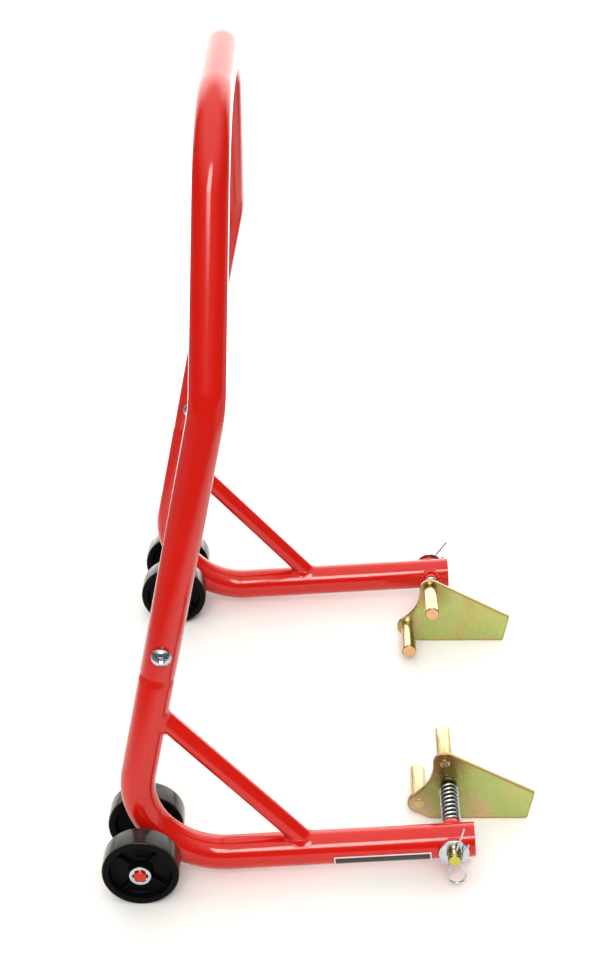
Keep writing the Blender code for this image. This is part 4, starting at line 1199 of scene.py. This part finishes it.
bow = PIVOT_RADIUS + CLIP_WIRE + SEAT_GAP
loop_centre = np.array([LOOP_RADIUS, -LOOP_DROP])
loop_arc = arc(loop_centre, LOOP_RADIUS, math.pi, 2 * math.pi + LOOP_OVER, 60)
straight_leg = np.linspace((0, CLIP_LEG), (0, -LOOP_DROP), 30)
bowed_knots = np.concatenate([loop_arc[-1:], bow * BOW_SHARES])
clip_flat = np.concatenate([straight_leg[:-1], loop_arc[:-1], smooth_through(bowed_knots, 12)])
for name, lean in CLIP_TILT.items():
    node = f"spring_clip_{name}"
    middle = np.mean(low_high(node), axis=0)
    sideways = clip_flat[:, 0] * math.cos(lean) + clip_flat[:, 1] * math.sin(lean)
    upwards = clip_flat[:, 1] * math.cos(lean) - clip_flat[:, 0] * math.sin(lean)
    path = np.stack(np.broadcast_arrays(PIVOT[0] + sideways, middle[1], PIVOT[2] + upwards), axis=1)
    wire = swept(path, CLIP_WIRE, Y_AXIS, sides=12)
    make_piece(f"wire_clip_{name}", [wire], bright_zinc, f"bracket_{name}", [node])

# %% [markdown]
# ## The label
# A plain grey label is stuck along the lower outer side of the right arm. It is a thin skin wrapped round
# the tube: one parameter runs along the arm and the other round it. It carries no words, only a pale
# border.

# %% Label
LABEL_GREY, LABEL_PALE = (0.055, 0.050, 0.048), (0.075, 0.069, 0.067)
LABEL_WHITE = (0.78, 0.79, 0.80)
LABEL_DRIFT, LABEL_GLOSS = (260, 3), (200, 2, 0.25, 0.36)
LABEL_START, LABEL_END = AXLE[0] + 186 * MM, AXLE[0] + 281 * MM
LABEL_TOP, LABEL_BOTTOM = math.radians(91), math.radians(174)
LABEL_SKIN = 0.15 * MM
LABEL_BORDER = 1.3 * MM

label_film, tree, shader, place = new_finish("grey_label_film", metallic=0.0, ior=1.15)
grey = blend_colour(tree, noise(tree, place, *LABEL_DRIFT), LABEL_GREY, LABEL_PALE)
dress(tree, shader, place, blend_colour(tree, mark(tree, "border"), grey, LABEL_WHITE), LABEL_GLOSS)


def label_sheet(side):
    """Points on the arm: its axis at each distance along, plus a radius towards each angle from upright.
    A row goes round the film's outer face and back along its inner one, and a point closes each end."""
    forward = np.linspace(LABEL_START, LABEL_END, 120)
    angle = np.linspace(LABEL_TOP, LABEL_BOTTOM, 60)
    to_end = np.minimum(forward - LABEL_START, LABEL_END - forward)[:, None]
    to_side = np.minimum(angle - LABEL_TOP, LABEL_BOTTOM - angle)[None, :] * TUBE
    border = (np.minimum(to_end, to_side) < LABEL_BORDER).astype(float)
    border = np.pad(np.concatenate([border, border[:, ::-1]], axis=1), ((1, 1), (0, 0)), mode="edge")
    start = on_arm(LABEL_START)
    axis = at_side(start, side) + arm_along * ((forward - start[0]) / arm_along[0])[:, None]
    upward = np.cross(arm_along, Y_AXIS)
    angle = np.concatenate([angle, angle[::-1]])[:, None]
    radius = np.repeat([TUBE + LABEL_SKIN, TUBE - LABEL_SKIN], len(angle) // 2)[:, None]
    rows = axis[:, None] + radius * (np.cos(angle) * upward + np.sin(angle) * side * Y_AXIS)
    ends = rows[[0, -1]].mean(axis=1, keepdims=True) + 0 * rows[[0, -1]]
    return sheet(np.concatenate([ends[:1], rows, ends[1:]]), border=border)


make_piece("label_right", [label_sheet(-1)], label_film, "frame", sharp=LABEL_SHARP)

# %% [markdown]
# ## The studio
# The stand was photographed on a white sweep in a darker room. A bright wall behind it lights the tubes'
# edges, a ceiling light fills from above, and one softbox stands above the camera: it draws the thin
# streaks on the tubes. All of that is a world worked out from a direction's height and azimuth. Rays that
# only look at the world see plain white.

# %% World
WALL_LIGHT, CEILING_LIGHT, SIDE_LIGHT, DARK_LIGHT = 2.6, 1.40, 0.55, 0.12
LAMP_TINT = (1.0, 0.98, 0.935)
SOFTBOX_LIGHT = 12.0
SOFTBOX_ELEVATION, SOFTBOX_HALF_HEIGHT = math.radians(45.5), math.radians(10.5)
SOFTBOX_HALF_WIDTH = math.radians(15)
SOFTBOX_EDGE = math.radians(3)
SOFTBOX_TILT = 0.9
CEILING_STEP, FRONT_STEP = (0.55, 0.92), (0.30, 0.62)
WALL_STEP, BEHIND_STEP = (0.50, 0.85), (0.60, 0.88)


def empty_tree(owner):
    """The node tree of a world or a material, with nothing in it."""
    owner.use_nodes = True
    owner.node_tree.nodes.clear()
    return owner.node_tree


def calculate(tree, operation, first, second=0.0):
    """One step of arithmetic on numbers or sockets."""
    return add_node(tree, "ShaderNodeMath", {0: first, 1: second}, operation=operation).outputs["Value"]


def soft_step(tree, value, low, high):
    """0 below low and 1 above high, with a smooth step between."""
    inputs = {"Value": value, "From Min": low, "From Max": high, "To Min": 0.0, "To Max": 1.0}
    node = add_node(tree, "ShaderNodeMapRange", inputs, interpolation_type="SMOOTHSTEP")
    return node.outputs["Result"]


def between(tree, share, first, second):
    """first + share (second - first)."""
    span = calculate(tree, "SUBTRACT", second, first)
    return calculate(tree, "ADD", first, calculate(tree, "MULTIPLY", share, span))


def inside(tree, value, middle, half_width, edge):
    """1 within half a width of the middle and 0 outside it, with a soft edge."""
    off = calculate(tree, "ABSOLUTE", calculate(tree, "SUBTRACT", value, middle))
    return calculate(tree, "SUBTRACT", 1.0, soft_step(tree, off, half_width - edge, half_width + edge))


def split(tree, vector):
    """A vector's three parts."""
    outputs = add_node(tree, "ShaderNodeSeparateXYZ", {"Vector": vector}).outputs
    return outputs["X"], outputs["Y"], outputs["Z"]


world = bpy.data.worlds.new("white_studio")
bpy.context.scene.world = world
tree = empty_tree(world)
sideways, backwards, height = split(tree, add_node(tree, "ShaderNodeTexCoord").outputs["Generated"])
elevation = calculate(tree, "ARCSINE", height)
azimuth = calculate(tree, "ARCTAN2", sideways, calculate(tree, "MULTIPLY", backwards, -1.0))
room = between(tree, soft_step(tree, height, *CEILING_STEP), SIDE_LIGHT, CEILING_LIGHT)
low_front = between(tree, soft_step(tree, height, *FRONT_STEP), DARK_LIGHT, room)
wall = between(tree, soft_step(tree, height, *WALL_STEP), WALL_LIGHT, room)
behind = calculate(tree, "MULTIPLY", calculate(tree, "COSINE", azimuth), -1.0)
around = between(tree, soft_step(tree, behind, *BEHIND_STEP), low_front, wall)
off_middle = calculate(tree, "SUBTRACT", elevation, SOFTBOX_ELEVATION)
leaning = calculate(tree, "MULTIPLY", off_middle, SOFTBOX_TILT)
tall = inside(tree, elevation, SOFTBOX_ELEVATION, SOFTBOX_HALF_HEIGHT, SOFTBOX_EDGE)
wide = inside(tree, azimuth, leaning, SOFTBOX_HALF_WIDTH, SOFTBOX_EDGE)
softbox = calculate(tree, "MULTIPLY", tall, wide)
light = calculate(tree, "ADD", around, calculate(tree, "MULTIPLY", softbox, SOFTBOX_LIGHT))
seen = add_node(tree, "ShaderNodeLightPath").outputs["Is Camera Ray"]
tint = blend_colour(tree, seen, LAMP_TINT, (1, 1, 1))
strength = between(tree, seen, light, 1.0)
background = add_node(tree, "ShaderNodeBackground", {"Color": tint, "Strength": strength})
add_node(tree, "ShaderNodeOutputWorld", {"Surface": background.outputs["Background"]})

# %% [markdown]
# The floor is white paper. Near the stand it is an ordinary matt surface that takes the shadows. Further
# out a mirror-like tube sees the room instead: dark in front, where the paper ends, and brighter to the
# right and behind. Only reflections see that outer part, so it adds nothing to the light on the stand.

# %% Floor
HALF_FLOOR = 6.0
PAPER_WHITE, PAPER_SHADE = (0.918, 0.918, 0.913), (0.903, 0.903, 0.898)
PAPER_DRIFT = 300
PAPER_END, PAPER_EDGE = 0.62, 0.16
SIDE_START, SIDE_FULL = 0.55, 0.95
BACK_STEP = (0.70, 0.92)
FLOOR_DROP = 0.2 * MM
OUTER_FRONT, OUTER_LEFT, OUTER_RIGHT, OUTER_BACK = 0.10, 0.30, 0.62, 4.5

floor_finish = bpy.data.materials.new("white_sweep")
tree = empty_tree(floor_finish)
paper_place = add_node(tree, "ShaderNodeTexCoord").outputs["Object"]
paper = blend_colour(tree, noise(tree, paper_place, PAPER_DRIFT), PAPER_WHITE, PAPER_SHADE)
matt = add_node(tree, "ShaderNodeBsdfDiffuse", {"Color": paper}).outputs["BSDF"]
across, along, _ = split(tree, paper_place)
reach = add_node(tree, "ShaderNodeVectorMath", {0: paper_place}, operation="LENGTH").outputs["Value"]
rightwards = calculate(tree, "DIVIDE", across, reach)
to_right = soft_step(tree, rightwards, SIDE_START, SIDE_FULL)
to_left = soft_step(tree, rightwards, -SIDE_START, -SIDE_FULL)
to_back = soft_step(tree, calculate(tree, "DIVIDE", along, reach), *BACK_STEP)
outer = between(tree, to_left, between(tree, to_right, OUTER_FRONT, OUTER_RIGHT), OUTER_LEFT)
outer = between(tree, to_back, outer, OUTER_BACK)
glow = add_node(tree, "ShaderNodeEmission", {"Color": (1, 1, 1, 1), "Strength": outer}).outputs["Emission"]
mirrored = add_node(tree, "ShaderNodeLightPath").outputs["Is Glossy Ray"]
far = soft_step(tree, reach, PAPER_END - PAPER_EDGE, PAPER_END + PAPER_EDGE)
share = calculate(tree, "MULTIPLY", mirrored, far)
surface = add_node(tree, "ShaderNodeMixShader", {"Fac": share, 1: matt, 2: glow})
add_node(tree, "ShaderNodeOutputMaterial", {"Surface": surface.outputs["Shader"]})

floor_mesh = bpy.data.meshes.new("floor")
floor_corners = np.array([(-1, -1, 0), (1, -1, 0), (1, 1, 0), (-1, 1, 0)]) * HALF_FLOOR
floor_mesh.from_pydata(floor_corners.tolist(), [], [(0, 1, 2, 3)])
floor_mesh.materials.append(floor_finish)
floor = bpy.data.objects.new("floor", floor_mesh)
bpy.context.scene.collection.objects.link(floor)
floor.location.z = -FLOOR_DROP
bpy.context.scene.view_settings.view_transform = "Standard"
